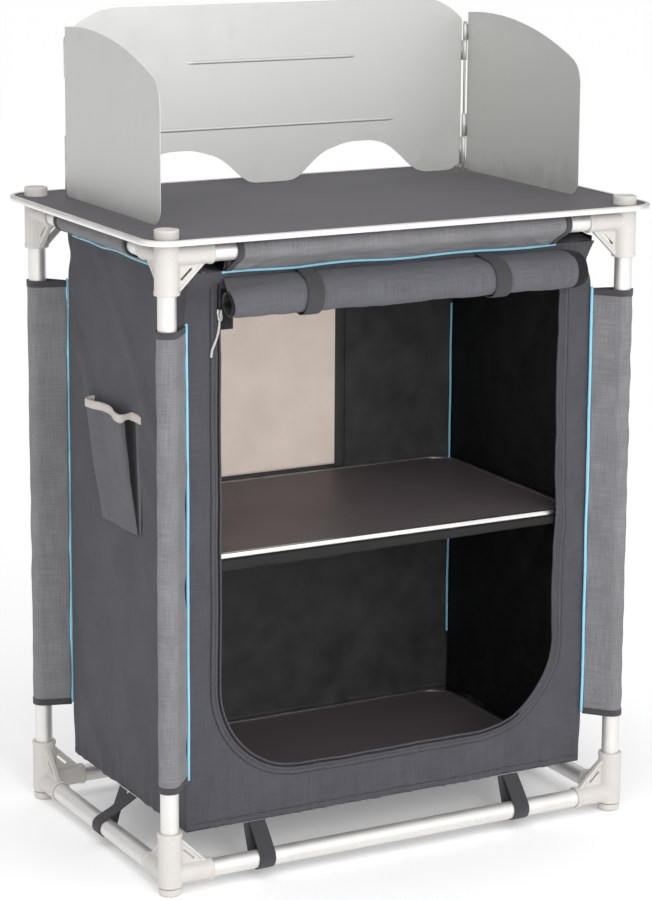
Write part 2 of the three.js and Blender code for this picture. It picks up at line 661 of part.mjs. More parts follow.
// ---------------------------------------------------------------- zip slider and its pull cord
const SLIDER_X = -DOOR_X - 3.2;
const SLIDER_Z = 733;
const SLIDER_FRONT = -CABINET_Y - 4.2;
const SLIDER_HALF = 4; // half the body's widest part
const SLIDER_END = 3; // half its two ends
const BRIDGE_HALF = 1.2;
const BRIDGE_RISE = 2;
const CORD_R = 1.5;
const CORD_ROUTE = [
  [SLIDER_X, -180, 725.3],
  [SLIDER_X - 0.6, -180.2, 717.5],
  [SLIDER_X - 2.6, -180.4, 707.5],
  [SLIDER_X - 6.4, -180.6, 697.5],
  [SLIDER_X - 10.2, -180.6, 689],
  [SLIDER_X - 11.6, -180.4, 680.5],
];

function buildZip() {
  const [low, wide, high] = [SLIDER_Z - 7, SLIDER_Z + 2, SLIDER_Z + 6];
  const body = polygon([
    [SLIDER_X - SLIDER_END, low], [SLIDER_X + SLIDER_END, low], [SLIDER_X + SLIDER_HALF, wide],
    [SLIDER_X + SLIDER_END, high], [SLIDER_X - SLIDER_END, high], [SLIDER_X - SLIDER_HALF, wide],
  ]);
  const slider = orient(prismY(body, SLIDER_FRONT, -CABINET_Y - GAP));
  const bridge = solid(box(
    SLIDER_X - BRIDGE_HALF, SLIDER_X + BRIDGE_HALF, SLIDER_FRONT - BRIDGE_RISE, SLIDER_FRONT + 1,
    SLIDER_Z - 5, SLIDER_Z + 4,
  ));
  add("zip_slider", geometryOf(slider.add(bridge)), TUBE);
  const route = new THREE.CatmullRomCurve3(CORD_ROUTE.map((p) => new THREE.Vector3(...p)));
  const section = polygon(
    Array.from({ length: 8 }, (_, i) => [
      CORD_R * Math.cos((i * Math.PI) / 4),
      CORD_R * Math.sin((i * Math.PI) / 4),
    ]),
  );
  const cord = new THREE.ExtrudeGeometry(section, { steps: 8, extrudePath: route, bevelEnabled: false });
  add("zip_pull_cord", geometryOf(orient(cord)), PULL);
}

// ---------------------------------------------------------------- side pocket
// The pocket's outline on the wall is [y, z]; its section is a wedge, thin at the bottom.
function buildPocket() {
  const outline = (inset, rise) =>
    prismX(
      polygon([
        [POCKET_FRONT + inset, POCKET_BASE + inset],
        [POCKET_BACK - inset, POCKET_BASE + inset],
        [POCKET_MOUTH_BACK - inset * 1.2, POCKET_BACK_TOP + rise],
        [POCKET_MOUTH_FRONT + inset, POCKET_FRONT_TOP + rise],
      ]),
      -CABINET_X - POCKET_DEEP - 4,
      -CABINET_X,
    );
  const wall = -CABINET_X - GAP;
  const wedge = (inset, rise) =>
    prismY(
      polygon([
        [wall - inset, POCKET_BASE],
        [wall - inset, POCKET_FRONT_TOP + 8 + rise],
        [wall - POCKET_DEEP + inset, POCKET_FRONT_TOP + 8 + rise],
        [wall - POCKET_THIN + inset, POCKET_BASE],
      ]),
      POCKET_MOUTH_FRONT - 6,
      POCKET_MOUTH_BACK + 6,
    );
  const outer = orient(outline(0, 0)).intersect(orient(wedge(0, 0)));
  const inner = orient(outline(POCKET_CLOTH, 5)).intersect(orient(wedge(POCKET_CLOTH, 20)));
  add("side_pocket", geometryOf(cut(outer, inner)), FABRIC);
}

buildFrame();
buildBoards();
buildWindshield();
buildCabinet();
buildTunnels();
buildTies();
buildDoor();
buildZip();
buildPocket();

export default model;
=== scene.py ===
# The looks of the camp kitchen table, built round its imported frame.
# Sizes here are in millimetres; make() turns them into metres. X runs left to right, Y front to back.
import json
import math

import bmesh
import bpy
import numpy as np
from mathutils import Matrix, Vector

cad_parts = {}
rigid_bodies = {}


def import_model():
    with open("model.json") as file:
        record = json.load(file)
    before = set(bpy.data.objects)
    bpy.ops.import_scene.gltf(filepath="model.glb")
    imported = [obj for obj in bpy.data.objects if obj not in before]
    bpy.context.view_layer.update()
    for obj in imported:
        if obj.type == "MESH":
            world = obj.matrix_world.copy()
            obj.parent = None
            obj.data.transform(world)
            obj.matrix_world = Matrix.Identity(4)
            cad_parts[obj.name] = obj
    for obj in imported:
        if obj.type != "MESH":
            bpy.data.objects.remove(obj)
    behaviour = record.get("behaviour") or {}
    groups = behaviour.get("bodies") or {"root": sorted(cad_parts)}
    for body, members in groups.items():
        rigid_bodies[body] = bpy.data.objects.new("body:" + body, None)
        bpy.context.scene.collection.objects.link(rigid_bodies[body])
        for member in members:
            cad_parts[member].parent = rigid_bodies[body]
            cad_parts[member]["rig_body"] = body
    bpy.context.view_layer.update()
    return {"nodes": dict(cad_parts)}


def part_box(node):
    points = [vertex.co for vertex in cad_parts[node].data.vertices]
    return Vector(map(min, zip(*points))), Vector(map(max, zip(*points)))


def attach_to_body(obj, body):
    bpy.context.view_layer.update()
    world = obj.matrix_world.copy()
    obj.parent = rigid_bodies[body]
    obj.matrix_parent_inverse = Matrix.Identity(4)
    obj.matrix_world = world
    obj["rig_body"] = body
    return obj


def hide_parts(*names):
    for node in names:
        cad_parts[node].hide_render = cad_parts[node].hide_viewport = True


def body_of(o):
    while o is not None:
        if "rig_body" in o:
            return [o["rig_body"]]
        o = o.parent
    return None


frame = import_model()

MM = 0.001
SCENE = bpy.context.scene


# ---------------------------------------------------------------- places taken from the frame
def box(node):
    """A CAD node's lowest and highest corners, in millimetres."""
    low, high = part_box(node)
    return Vector(low) / MM, Vector(high) / MM


def middle(node):
    low, high = box(node)
    return (low + high) / 2


CORNERS = {"front_left": 0, "front_right": 1, "back_right": 2, "back_left": 3}  # quarter turns
LEG_X = abs(middle("leg_front_left").x)
LEG_Y = abs(middle("leg_front_left").y)
TUBE_R = (box("leg_front_left")[1].x - box("leg_front_left")[0].x) / 2
TOP_TUBE_Z = middle("top_tube_front").z
BOTTOM_TUBE_Z = middle("bottom_tube_front").z
CABINET_X = box("cabinet_front")[1].x
CABINET_Y = -box("cabinet_front")[0].y
CABINET_BASE = box("cabinet_front")[0].z
FRONT_TOP = box("cabinet_front")[1].z
SIDE_TOP = box("cabinet_left")[1].z
SLEEVE_LOW = box("leg_sleeve_front_left")[0].z
SLEEVE_HIGH = box("leg_sleeve_front_left")[1].z
RIM_Z = box("worktop_trim")[1].z
HINGE_X = middle("hinge_wire_right").x
HINGE_Y = middle("hinge_wire_right").y


# ---------------------------------------------------------------- camera and light
def make_camera():
    """Stands to the left of the front, a little above the worktop, and looks slightly down."""
    yaw, pitch, roll = (math.radians(angle) for angle in (29.579, 11.932, 0.590))
    forward = Vector((math.sin(yaw) * math.cos(pitch), math.cos(yaw) * math.cos(pitch), -math.sin(pitch)))
    level = Vector((math.cos(yaw), -math.sin(yaw), 0))
    upright = level.cross(forward)
    right = level * math.cos(roll) + upright * math.sin(roll)
    above = upright * math.cos(roll) - level * math.sin(roll)
    data = bpy.data.cameras.new("camera")
    data.sensor_width = 36
    data.lens = 116.71
    data.shift_x = -0.0664
    data.shift_y = -0.0733
    data.clip_end = 200
    camera = bpy.data.objects.new("camera", data)
    camera.matrix_world = Matrix.Translation((-1.8098, -3.3433, 1.3914)) @ Matrix(
        (right, above, -forward)
    ).transposed().to_4x4()
    SCENE.collection.objects.link(camera)
    SCENE.camera = camera


def make_light():
    """A white studio: bright screens to both sides, and a duller strip where the camera stands."""
    world = bpy.data.worlds.new("studio")
    SCENE.world = world
    world.use_nodes = True
    tree = world.node_tree
    tree.nodes.clear()
    heading = tree.nodes.new("ShaderNodeTexCoord")
    dot = tree.nodes.new("ShaderNodeVectorMath")
    dot.operation = "DOT_PRODUCT"
    dot.inputs[1].default_value = (-0.49, -0.87, 0.0)
    spread = tree.nodes.new("ShaderNodeMapRange")
    spread.inputs["From Min"].default_value = -1
    ramp = tree.nodes.new("ShaderNodeValToRGB")
    stops = [(0.0, 0.50), (0.30, 0.42), (0.46, 0.62), (0.62, 1.12), (0.86, 1.18), (0.95, 0.95), (1.0, 0.55)]
    while len(ramp.color_ramp.elements) < len(stops):
        ramp.color_ramp.elements.new(0.5)
    for element, (place, level) in zip(ramp.color_ramp.elements, stops):
        element.position = place
        element.color = (level, level, level * 1.01, 1)
    sky = tree.nodes.new("ShaderNodeSeparateXYZ")
    lift = tree.nodes.new("ShaderNodeMapRange")
    lift.inputs["From Min"].default_value = 0.25
    lift.inputs["From Max"].default_value = 0.8
    mix = tree.nodes.new("ShaderNodeMix")
    mix.data_type = "RGBA"
    mix.inputs[7].default_value = (0.92, 0.92, 0.93, 1)
    lit = tree.nodes.new("ShaderNodeBackground")
    seen = tree.nodes.new("ShaderNodeBackground")
    seen.inputs["Color"].default_value = (1, 1, 1, 1)
    path = tree.nodes.new("ShaderNodeLightPath")
    choose = tree.nodes.new("ShaderNodeMixShader")
    out = tree.nodes.new("ShaderNodeOutputWorld")
    link = tree.links.new
    link(heading.outputs["Generated"], dot.inputs[0])
    link(dot.outputs["Value"], spread.inputs["Value"])
    link(spread.outputs["Result"], ramp.inputs["Fac"])
    link(heading.outputs["Generated"], sky.inputs[0])
    link(sky.outputs["Z"], lift.inputs["Value"])
    link(lift.outputs["Result"], mix.inputs[0])
    link(ramp.outputs["Color"], mix.inputs[6])
    link(mix.outputs[2], lit.inputs["Color"])
    link(path.outputs["Is Camera Ray"], choose.inputs[0])
    link(lit.outputs[0], choose.inputs[1])
    link(seen.outputs[0], choose.inputs[2])
    link(choose.outputs[0], out.inputs["Surface"])
    lamps = [
        ("key", (-3.0, -5.4, 3.6), 6.0, 70),
        ("fill", (0.9, -4.6, 2.0), 2.8, 24),
        ("door", (-0.5, -2.6, 1.35), 0.9, 20),
    ]
    for name, place, size, power in lamps:
        data = bpy.data.lights.new(name, "AREA")
        data.size = size
        data.energy = power
        lamp = bpy.data.objects.new(name, data)
        lamp.location = place
        lamp.rotation_euler = (Vector((0, 0, 0.5)) - lamp.location).to_track_quat("-Z", "Y").to_euler()
        SCENE.collection.objects.link(lamp)


# ---------------------------------------------------------------- materials
def rgb(code):
    """Linear red, green and blue from a six-digit colour code."""
    parts = [int(code[i : i + 2], 16) / 255 for i in (0, 2, 4)]
    return [c / 12.92 if c <= 0.04045 else ((c + 0.055) / 1.055) ** 2.4 for c in parts]


class Look:
    """A material, with short calls for the nodes that its surface needs."""

    def __init__(self, name, color, roughness, metallic=0.0, specular=0.5, sheen=0.0):
        self.material = bpy.data.materials.new(name)
        self.material.use_nodes = True
        self.tree = self.material.node_tree
        self.shader = self.tree.nodes["Principled BSDF"]
        self.color = rgb(color)
        self.shader.inputs["Base Color"].default_value = (*self.color, 1)
        self.shader.inputs["Roughness"].default_value = roughness
        self.shader.inputs["Metallic"].default_value = metallic
        self.shader.inputs["Specular IOR Level"].default_value = specular
        self.shader.inputs["Sheen Weight"].default_value = sheen
        self.material.diffuse_color = (*self.color, 1)

    def node(self, kind, **settings):
        made = self.tree.nodes.new("ShaderNode" + kind)
        for key, value in settings.items():
            setattr(made, key, value)
        return made

    def link(self, source, target):
        self.tree.links.new(source, target)

    def place(self, flat=True, stretch=(1, 1, 1), turn=0.0):
        """Where a point lies, in millimetres: on the flat cloth, or in the object's own space."""
        if flat:
            source = self.node("UVMap", uv_map="flat").outputs["UV"]
        else:
            source = self.node("TexCoord").outputs["Object"]
        mapping = self.node("Mapping")
        mapping.inputs["Scale"].default_value = [1000 * s for s in stretch]
        mapping.inputs["Rotation"].default_value = (0, 0, turn)
        self.link(source, mapping.inputs["Vector"])
        return mapping.outputs["Vector"]

    def noise(self, where, pitch, detail=3.0, rough=0.55):
        made = self.node("TexNoise")
        made.inputs["Scale"].default_value = 1 / pitch
        made.inputs["Detail"].default_value = detail
        made.inputs["Roughness"].default_value = rough
        self.link(where, made.inputs["Vector"])
        return made.outputs["Fac"]

    def bands(self, where, pitch, across="X", wobble=0.0):
        made = self.node("TexWave", bands_direction=across)
        made.inputs["Scale"].default_value = 2 * math.pi / 20 / pitch
        made.inputs["Distortion"].default_value = wobble
        self.link(where, made.inputs["Vector"])
        return made.outputs["Fac"]

    def spread(self, value, low, high, start=0.3, end=0.7):
        made = self.node("MapRange")
        for key, number in (("From Min", start), ("From Max", end), ("To Min", low), ("To Max", high)):
            made.inputs[key].default_value = number
        self.link(value, made.inputs["Value"])
        return made.outputs["Result"]

    def maths(self, operation, first, second):
        made = self.node("Math", operation=operation)
        for socket, value in zip(made.inputs, (first, second)):
            if isinstance(value, (int, float)):
                socket.default_value = value
            else:
                self.link(value, socket)
        return made.outputs[0]

    def tint(self, value):
        """Multiplies the base colour by value."""
        made = self.node("VectorMath", operation="SCALE")
        made.inputs[0].default_value = self.color
        self.link(value, made.inputs["Scale"])
        self.link(made.outputs[0], self.shader.inputs["Base Color"])

    def roughen(self, value):
        self.link(value, self.shader.inputs["Roughness"])

    def emboss(self, value, depth, strength=1.0):
        """Bump of that depth in millimetres."""
        made = self.node("Bump")
        made.inputs["Strength"].default_value = strength
        made.inputs["Distance"].default_value = depth * MM
        self.link(value, made.inputs["Height"])
        self.link(made.outputs["Normal"], self.shader.inputs["Normal"])


def woven(name, color, pitch=1.25, slub=0.15, mottle=0.07, heather=0.0, sheen=0.12, depth=0.45):
    """Plain-weave cloth: yarns both ways, thick and thin in places, and a slow change of tone."""
    look = Look(name, color, 0.86, specular=0.25, sheen=sheen)
    flat = look.place()
    warp = look.bands(flat, pitch, "X", 0.6)
    weft = look.bands(flat, pitch, "Y", 0.6)
    yarns = look.maths("MULTIPLY", warp, weft)
    down = look.noise(look.place(stretch=(1, 0.05, 1)), 1.9, 2.0)
    along = look.noise(look.place(stretch=(0.05, 1, 1)), 1.9, 2.0)
    slubs = look.maths("ADD", down, along)
    tone = look.spread(slubs, 1 - slub, 1 + slub, 0.75, 1.25)
    slow = look.spread(look.noise(flat, 70, 2.0), 1 - mottle, 1 + mottle)
    tone = look.maths("MULTIPLY", tone, slow)
    tone = look.maths("MULTIPLY", tone, look.spread(yarns, 0.93, 1.05, 0.0, 1.0))
    if heather:
        flecks = look.noise(look.place(stretch=(1, 0.35, 1)), 0.9, 1.0)
        tone = look.maths("MULTIPLY", tone, look.spread(flecks, 1 - heather, 1 + heather))
    look.tint(tone)
    look.roughen(look.spread(slubs, 0.78, 0.92, 0.7, 1.3))
    look.emboss(look.maths("ADD", yarns, look.maths("MULTIPLY", slubs, 0.8)), depth)
    return look.material


def ribbed(name, color, pitch=1.5, sheen=0.1):
    """Webbing or binding tape: fine ribs across it and a flat selvedge sheen."""
    look = Look(name, color, 0.7, specular=0.3, sheen=sheen)
    flat = look.place()
    ribs = look.bands(flat, pitch, "Y", 0.3)
    cords = look.bands(flat, 1.0, "X", 0.2)
    wear = look.noise(flat, 9, 3.0)
    tone = look.maths("MULTIPLY", look.spread(ribs, 0.82, 1.1, 0, 1), look.spread(wear, 0.93, 1.08))
    look.tint(tone)
    look.roughen(look.spread(wear, 0.62, 0.8))
    look.emboss(look.maths("ADD", ribs, look.maths("MULTIPLY", cords, 0.4)), 0.35)
    return look.material


def coated(name, color):
    """The inside of the cloth, with its thin water-proof coat."""
    look = Look(name, color, 0.55, specular=0.35)
    flat = look.place()
    slow = look.noise(flat, 45, 4.0, 0.6)
    weave = look.maths("MULTIPLY", look.bands(flat, 1.25, "X"), look.bands(flat, 1.25, "Y"))
    look.tint(look.spread(slow, 0.75, 1.35))
    look.roughen(look.spread(slow, 0.48, 0.7))
    look.emboss(look.maths("ADD", slow, look.maths("MULTIPLY", weave, 0.15)), 0.8)
    return look.material


def net(name, color):
    """The pale back window: an open weave that lets daylight through, with a painted glow added on top."""
    look = Look(name, color, 0.85, specular=0.2)
    flat = look.place()
    warp = look.bands(flat, 0.9, "X", 0.2)
    weft = look.bands(flat, 0.9, "Y", 0.2)
    mesh = look.maths("MAXIMUM", warp, weft)
    slow = look.spread(look.noise(flat, 60), 0.95, 1.04)
    tone = look.maths("MULTIPLY", look.spread(mesh, 0.82, 1.05, 0.2, 1.0), slow)
    look.tint(tone)
    look.emboss(mesh, 0.3)
    glow = look.node("BsdfTranslucent")
    tinted = look.node("VectorMath", operation="SCALE")
    tinted.inputs[0].default_value = look.color
    look.link(tone, tinted.inputs["Scale"])
    look.link(tinted.outputs[0], glow.inputs["Color"])
    mix = look.node("MixShader")
    mix.inputs[0].default_value = 0.72
    # Emission in the window's own colour is a painted glow, standing in for more daylight from behind.
    look.shader.inputs["Emission Color"].default_value = (*look.color, 1)
    look.shader.inputs["Emission Strength"].default_value = 0.55
    out = look.tree.nodes["Material Output"]
    look.link(look.shader.outputs[0], mix.inputs[1])
    look.link(glow.outputs[0], mix.inputs[2])
    look.link(mix.outputs[0], out.inputs["Surface"])
    return look.material


def piping_cloth(name, color):
    look = Look(name, color, 0.6, specular=0.3, sheen=0.3)
    flat = look.place()
    twill = look.bands(look.place(turn=0.7), 0.8, "X", 0.3)
    wear = look.noise(flat, 14, 3.0)
    look.tint(look.maths("MULTIPLY", look.spread(twill, 0.9, 1.06, 0, 1), look.spread(wear, 0.94, 1.05)))
    look.emboss(twill, 0.15)
    return look.material


def anodised(name, color, roughness=0.3, grain=0.05, along=(1, 1, 0.02), metallic=1.0):
    """Satin aluminium with a fine drawn grain along one axis, and faint handling marks."""
    look = Look(name, color, roughness, metallic=metallic)
    fine = look.noise(look.place(flat=False, stretch=along), 0.8, 2.0)
    marks = look.noise(look.place(flat=False), 22, 4.0, 0.6)
    look.tint(look.maths("MULTIPLY", look.spread(fine, 1 - grain, 1 + grain), look.spread(marks, 0.97, 1.03)))
    roughs = look.maths("MULTIPLY", look.spread(fine, 0.9, 1.1), look.spread(marks, roughness * 0.9, roughness * 1.15))
    look.roughen(roughs)
    look.emboss(fine, 0.02)
    return look.material


def moulded(name, color, roughness=0.42, depth=0.06):
    """Moulded plastic: a fine spark-eroded skin, slightly uneven gloss, and painted shade that darkens the hollows."""
    look = Look(name, color, roughness, specular=0.45)
    where = look.place(flat=False)
    skin = look.noise(where, 0.7, 2.0)
    flow = look.noise(where, 16, 3.0)
    # Ambient occlusion darkens the colour in the hollows: painted shade.
    hollow_shade = look.node("AmbientOcclusion", samples=4)
    hollow_shade.inputs["Distance"].default_value = 6 * MM
    edge = look.spread(hollow_shade.outputs["AO"], 0.88, 1.0, 0.35, 0.8)
    look.tint(look.maths("MULTIPLY", edge, look.spread(flow, 0.975, 1.02)))
    look.roughen(look.spread(flow, roughness * 0.85, roughness * 1.2))
    look.emboss(skin, depth)
    return look.material


def laminate(name, color, roughness, depth=0.12):
    """A board's matt face: a fine pebble with a few long, faint rub marks."""
    look = Look(name, color, roughness, specular=0.35)
    where = look.place(flat=False)
    pebble = look.node("TexVoronoi", feature="SMOOTH_F1")
    pebble.inputs["Scale"].default_value = 1.0
    look.link(where, pebble.inputs["Vector"])
    cloud = look.noise(where, 90, 3.0)
    rub = look.noise(look.place(flat=False, stretch=(0.03, 1, 1), turn=0.4), 2.0, 2.0)
    look.tint(look.maths("MULTIPLY", look.spread(cloud, 0.965, 1.035), look.spread(rub, 0.985, 1.02)))
    rough = look.spread(cloud, roughness - 0.05, roughness + 0.05)
    look.roughen(look.maths("ADD", rough, look.spread(rub, -0.03, 0.03)))
    look.emboss(pebble.outputs["Distance"], depth)
    return look.material


def pulled_cord(name, color):
    """Braided cord: strands that cross at a slant."""
    look = Look(name, color, 0.75, specular=0.3, sheen=0.2)
    one = look.bands(look.place(turn=0.8), 1.1, "X")
    two = look.bands(look.place(turn=-0.8), 1.1, "X")
    braid = look.maths("MAXIMUM", one, two)
    look.tint(look.spread(braid, 0.5, 1.1, 0.3, 1.0))
    look.emboss(braid, 0.35)
    return look.material


def make_looks():
    return {
        "tube": anodised("satin_tube", "E4E2DF", 0.46, metallic=0.75),
        "trim": anodised("satin_trim", "EFEDEA", 0.34, along=(0.02, 0.02, 1)),
        "windshield": anodised("satin_sheet", "CFCFCD", 0.56, 0.03, (1, 1, 0.01)),
        "wire": anodised("hinge_wire", "B4B4B2", 0.3),
        "connector": moulded("white_nylon", "C9C5C0"),
        "foot": moulded("foot_plastic", "C9C5BF", 0.55),
        "worktop": laminate("worktop_laminate", "5E5C5F", 0.68),
        "shelf_board": laminate("shelf_laminate", "60585A", 0.5),
        "cabinet_fabric": woven("oxford_cloth", "4D4D53"),
        "roll_fabric": woven("door_cloth", "5F5F65"),
        "sleeve_fabric": woven("heather_cloth", "807F82", heather=0.10, mottle=0.10),
        "webbing": ribbed("webbing", "3F3E41"),
        "binding": ribbed("binding_tape", "474548", 1.1),
        "pale_binding": ribbed("pale_binding", "CFC9C0", 1.1),
        "zip_tape": ribbed("zip_tape", "19191C", 0.9),
        "piping": piping_cloth("blue_piping", "8FD4EC"),
        "lining": coated("coated_lining", "353536"),
        # A darker copy of the coated lining: painted shade for the side walls' insides and the shelf support.
        "shaded_lining": coated("shaded_lining", "111112"),
        "window": net("window_net", "E2D9D2"),
        "thread": ribbed("thread", "3A3A3F", 0.6),
        "slider": anodised("zip_metal", "C9C9C8", 0.25, 0.03),
        "pull_cord": pulled_cord("braided_cord", "D6D4D0"),
    }


LOOKS = {}


# ---------------------------------------------------------------- pieces
def make(name, points, faces, look, body="frame", stands_for=(), flat=None, backing=None, marks=None):
    """A mesh piece. flat gives each point's place on the flat cloth; marks gives each face's look."""
    mesh = bpy.data.meshes.new(name)
    points = np.asarray(points, float).reshape(-1, 3) * MM
    mesh.from_pydata(points.tolist(), [], [list(map(int, face)) for face in faces])
    kinds = [look] + ([backing] if backing else [])
    for kind in kinds:
        mesh.materials.append(LOOKS[kind])
    if flat is not None:
        flat = np.asarray(flat, float).reshape(-1, 2) * MM
        layer = mesh.uv_layers.new(name="flat")
        corners = np.empty(len(mesh.loops), np.int32)
        mesh.loops.foreach_get("vertex_index", corners)
        layer.data.foreach_set("uv", flat[corners].ravel())
    if marks is not None:
        mesh.polygons.foreach_set("material_index", np.asarray(marks, np.int32))
    mesh.polygons.foreach_set("use_smooth", [True] * len(mesh.polygons))
    mesh.update()
    made = bpy.data.objects.new(name, mesh)
    SCENE.collection.objects.link(made)
    return attach(made, body, stands_for)


def attach(made, body="frame", stands_for=()):
    if stands_for:
        body = body_of(frame["nodes"][stands_for[0]])
        body = body[0] if isinstance(body, (list, tuple)) else body
    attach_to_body(made, body)
    if stands_for:
        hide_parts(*stands_for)
    return made


def crease(made, degrees=35):
    """Keeps edges sharper than that angle sharp."""
    made.data.set_sharp_from_angle(angle=math.radians(degrees))
    return made


def rounded(made, width, segments=2, degrees=35):
    """A narrow bevel on the sharp edges."""
    bevel = made.modifiers.new("edges", "BEVEL")
    bevel.width = width * MM
    bevel.segments = segments
    bevel.limit_method = "ANGLE"
    bevel.angle_limit = math.radians(degrees)
    bevel.harden_normals = False
    return made


def thicken(made, thickness, offset=-1, backing=False):
    solid = made.modifiers.new("thickness", "SOLIDIFY")
    solid.thickness = thickness * MM
    solid.offset = offset
    solid.use_even_offset = False
    if backing:
        solid.material_offset = 1
    return made


def lattice(rows, cols, wrap=False, close=False):
    """Quads of a grid of points, rows by cols; wrap joins the last column to the first."""
    r, c = np.meshgrid(np.arange(rows - (not close)), np.arange(cols - (not wrap)), indexing="ij")
    r2, c2 = (r + 1) % rows, (c + 1) % cols
    corners = [r * cols + c, r * cols + c2, r2 * cols + c2, r2 * cols + c]
    return np.stack(corners, -1).reshape(-1, 4)


def lathe(profile, sides=48):
    """Points and faces turned about Z from [radius, height] steps; a step at radius 0 closes it."""
    turns = np.arange(sides) * 2 * math.pi / sides
    profile = np.asarray(profile, float)
    points = np.stack(
        [
            profile[:, None, 0] * np.cos(turns),
            profile[:, None, 0] * np.sin(turns),
            np.broadcast_to(profile[:, None, 1], (len(profile), sides)),
        ],
        -1,
    )
    return points, lattice(len(profile), sides, wrap=True)


def weld(made, distance=0.01):
    work = bmesh.new()
    work.from_mesh(made.data)
    bmesh.ops.remove_doubles(work, verts=work.verts, dist=distance * MM)
    bmesh.ops.recalc_face_normals(work, faces=work.faces)
    work.to_mesh(made.data)
    work.free()
    return made


def bumps(a, b, size, seed, waves=9):
    """A smooth uneven height, about -1 to 1, whose humps are about size millimetres across."""
    dice = np.random.default_rng(seed)
    total = 0
    for _ in range(waves):
        heading = dice.uniform(0, 2 * math.pi)
        pitch = 2 * size * dice.uniform(0.7, 1.7)
        phase = dice.uniform(0, 2 * math.pi)
        total = total + np.sin((a * math.cos(heading) + b * math.sin(heading)) * 2 * math.pi / pitch + phase)
    return total / math.sqrt(waves) / 1.2


def along_path(points, closed=False):
    """Length run along a path, its unit headings, and the points as an array."""
    points = np.asarray(points, float)
    steps = np.linalg.norm(np.diff(points, axis=0), axis=1)
    run = np.concatenate([[0], np.cumsum(steps)])
    if closed:
        heading = np.roll(points, -1, 0) - np.roll(points, 1, 0)
    else:
        heading = np.gradient(points, axis=0)
    heading /= np.maximum(np.linalg.norm(heading, axis=1)[:, None], 1e-9)
    return run, heading, points


def evenly(points, pitch):
    """The same path with points about pitch apart."""
    run, _, points = along_path(points)
    count = max(2, int(round(run[-1] / pitch)) + 1)
    at = np.linspace(0, run[-1], count)
    return np.stack([np.interp(at, run, points[:, k]) for k in range(3)], -1)


def smooth_path(points, pitch):
    """A rounded path through a few points."""
    points = np.asarray(points, float)
    padded = np.concatenate([[2 * points[0] - points[1]], points, [2 * points[-1] - points[-2]]])
    fine = []
    t = np.linspace(0, 1, 12, endpoint=False)[:, None]
    for a, b, c, d in zip(padded, padded[1:], padded[2:], padded[3:]):
        fine.append(b + 0.5 * t * (c - a + t * (2 * a - 5 * b + 4 * c - d + t * (3 * (b - c) + d - a))))
    return evenly(np.concatenate([*fine, points[-1:]]), pitch)


def cord_shell(path, radius, sides=10):
    """Points, faces and flat places of a round cord with closed, rounded ends."""
    run, heading, path = along_path(path)
    side = np.cross(heading, [0, 0, 1.0])
    flat_on = np.linalg.norm(side, axis=1) < 0.2
    side[flat_on] = np.cross(heading[flat_on], [0, 1.0, 0])
    side /= np.linalg.norm(side, axis=1)[:, None]
    for i in range(1, len(side)):
        side[i] = side[i - 1] - heading[i] * np.dot(side[i - 1], heading[i])
        side[i] /= np.linalg.norm(side[i])
    other = np.cross(heading, side)
    turns = np.arange(sides) * 2 * math.pi / sides
    ring = side[:, None] * np.cos(turns)[:, None] + other[:, None] * np.sin(turns)[:, None]
    body = path[:, None] + radius * ring
    ends = []
    for k, sign in ((0, -1), (-1, 1)):
        for share, out in ((0.8, 0.55), (0.35, 0.9)):
            ends.append(path[k] + radius * (share * ring[k] + sign * out * heading[k]))
    rings = np.concatenate([[ends[1], ends[0]], body, [ends[2], ends[3]]])
    faces = lattice(len(rings), sides, wrap=True).tolist()
    faces.append(list(range(sides - 1, -1, -1)))
    faces.append([(len(rings) - 1) * sides + k for k in range(sides)])
    far = np.concatenate([[run[0]] * 2, run, [run[-1]] * 2])
    flat = np.stack(np.broadcast_arrays(turns * radius, far[:, None]), -1)
    return rings, faces, flat


def cord_piece(name, path, radius, look, body="frame", stands_for=(), sides=10):
    points, faces, flat = cord_shell(path, radius, sides)
    return make(name, points, faces, look, body, stands_for, flat)


def many(name, shells, look, **rest):
    """Several shells as one piece."""
    points, faces, flats, start = [], [], [], 0
    for shell_points, shell_faces, shell_flat in shells:
        shell_points = np.asarray(shell_points).reshape(-1, 3)
        points.append(shell_points)
        flats.append(np.asarray(shell_flat).reshape(-1, 2))
        faces += [[int(k) + start for k in face] for face in shell_faces]
        start += len(shell_points)
    return make(name, np.concatenate(points), faces, look, flat=np.concatenate(flats), **rest)


def stitches(name, paths, out, pitch=4.2, length=2.8, radius=0.42):
    """Rows of thread, each stitch a small bowed capsule lying on the cloth; out is the cloth's outside."""
    shells = []
    out = np.asarray(out, float)
    for path in paths:
        run, _, path = along_path(path)
        for start in np.arange(pitch, run[-1] - pitch, pitch):
            at = start + length * np.array([0, 0.5, 1.0])
            line = np.stack([np.interp(at, run, path[:, k]) for k in range(3)], -1)
            line[1] += out * radius * 0.9
            shells.append(cord_shell(line, radius, 5))
    return many(name, shells, "thread")


# ---------------------------------------------------------------- frame
def turned_tube(name, node, axis):
    """A smooth drawn tube with softened mouths, in place of the CAD one."""
    low, high = box(node)
    half = (high - low)[axis] / 2
    wall = 1.2
    profile = [
        [TUBE_R - wall, -half], [TUBE_R - wall + 0.3, -half], [TUBE_R - 0.3, -half], [TUBE_R, 0.3 - half],
        [TUBE_R, half - 0.3], [TUBE_R - 0.3, half], [TUBE_R - wall + 0.3, half], [TUBE_R - wall, half],
    ]
    points, _ = lathe(profile, 56)
    faces = lattice(len(profile), 56, wrap=True, close=True)
    order = [[2, 0, 1], [1, 2, 0], [0, 1, 2]][axis]
    made = make(name, points[..., order] + np.array(middle(node)), faces, "tube", stands_for=[node])
    return crease(weld(made))


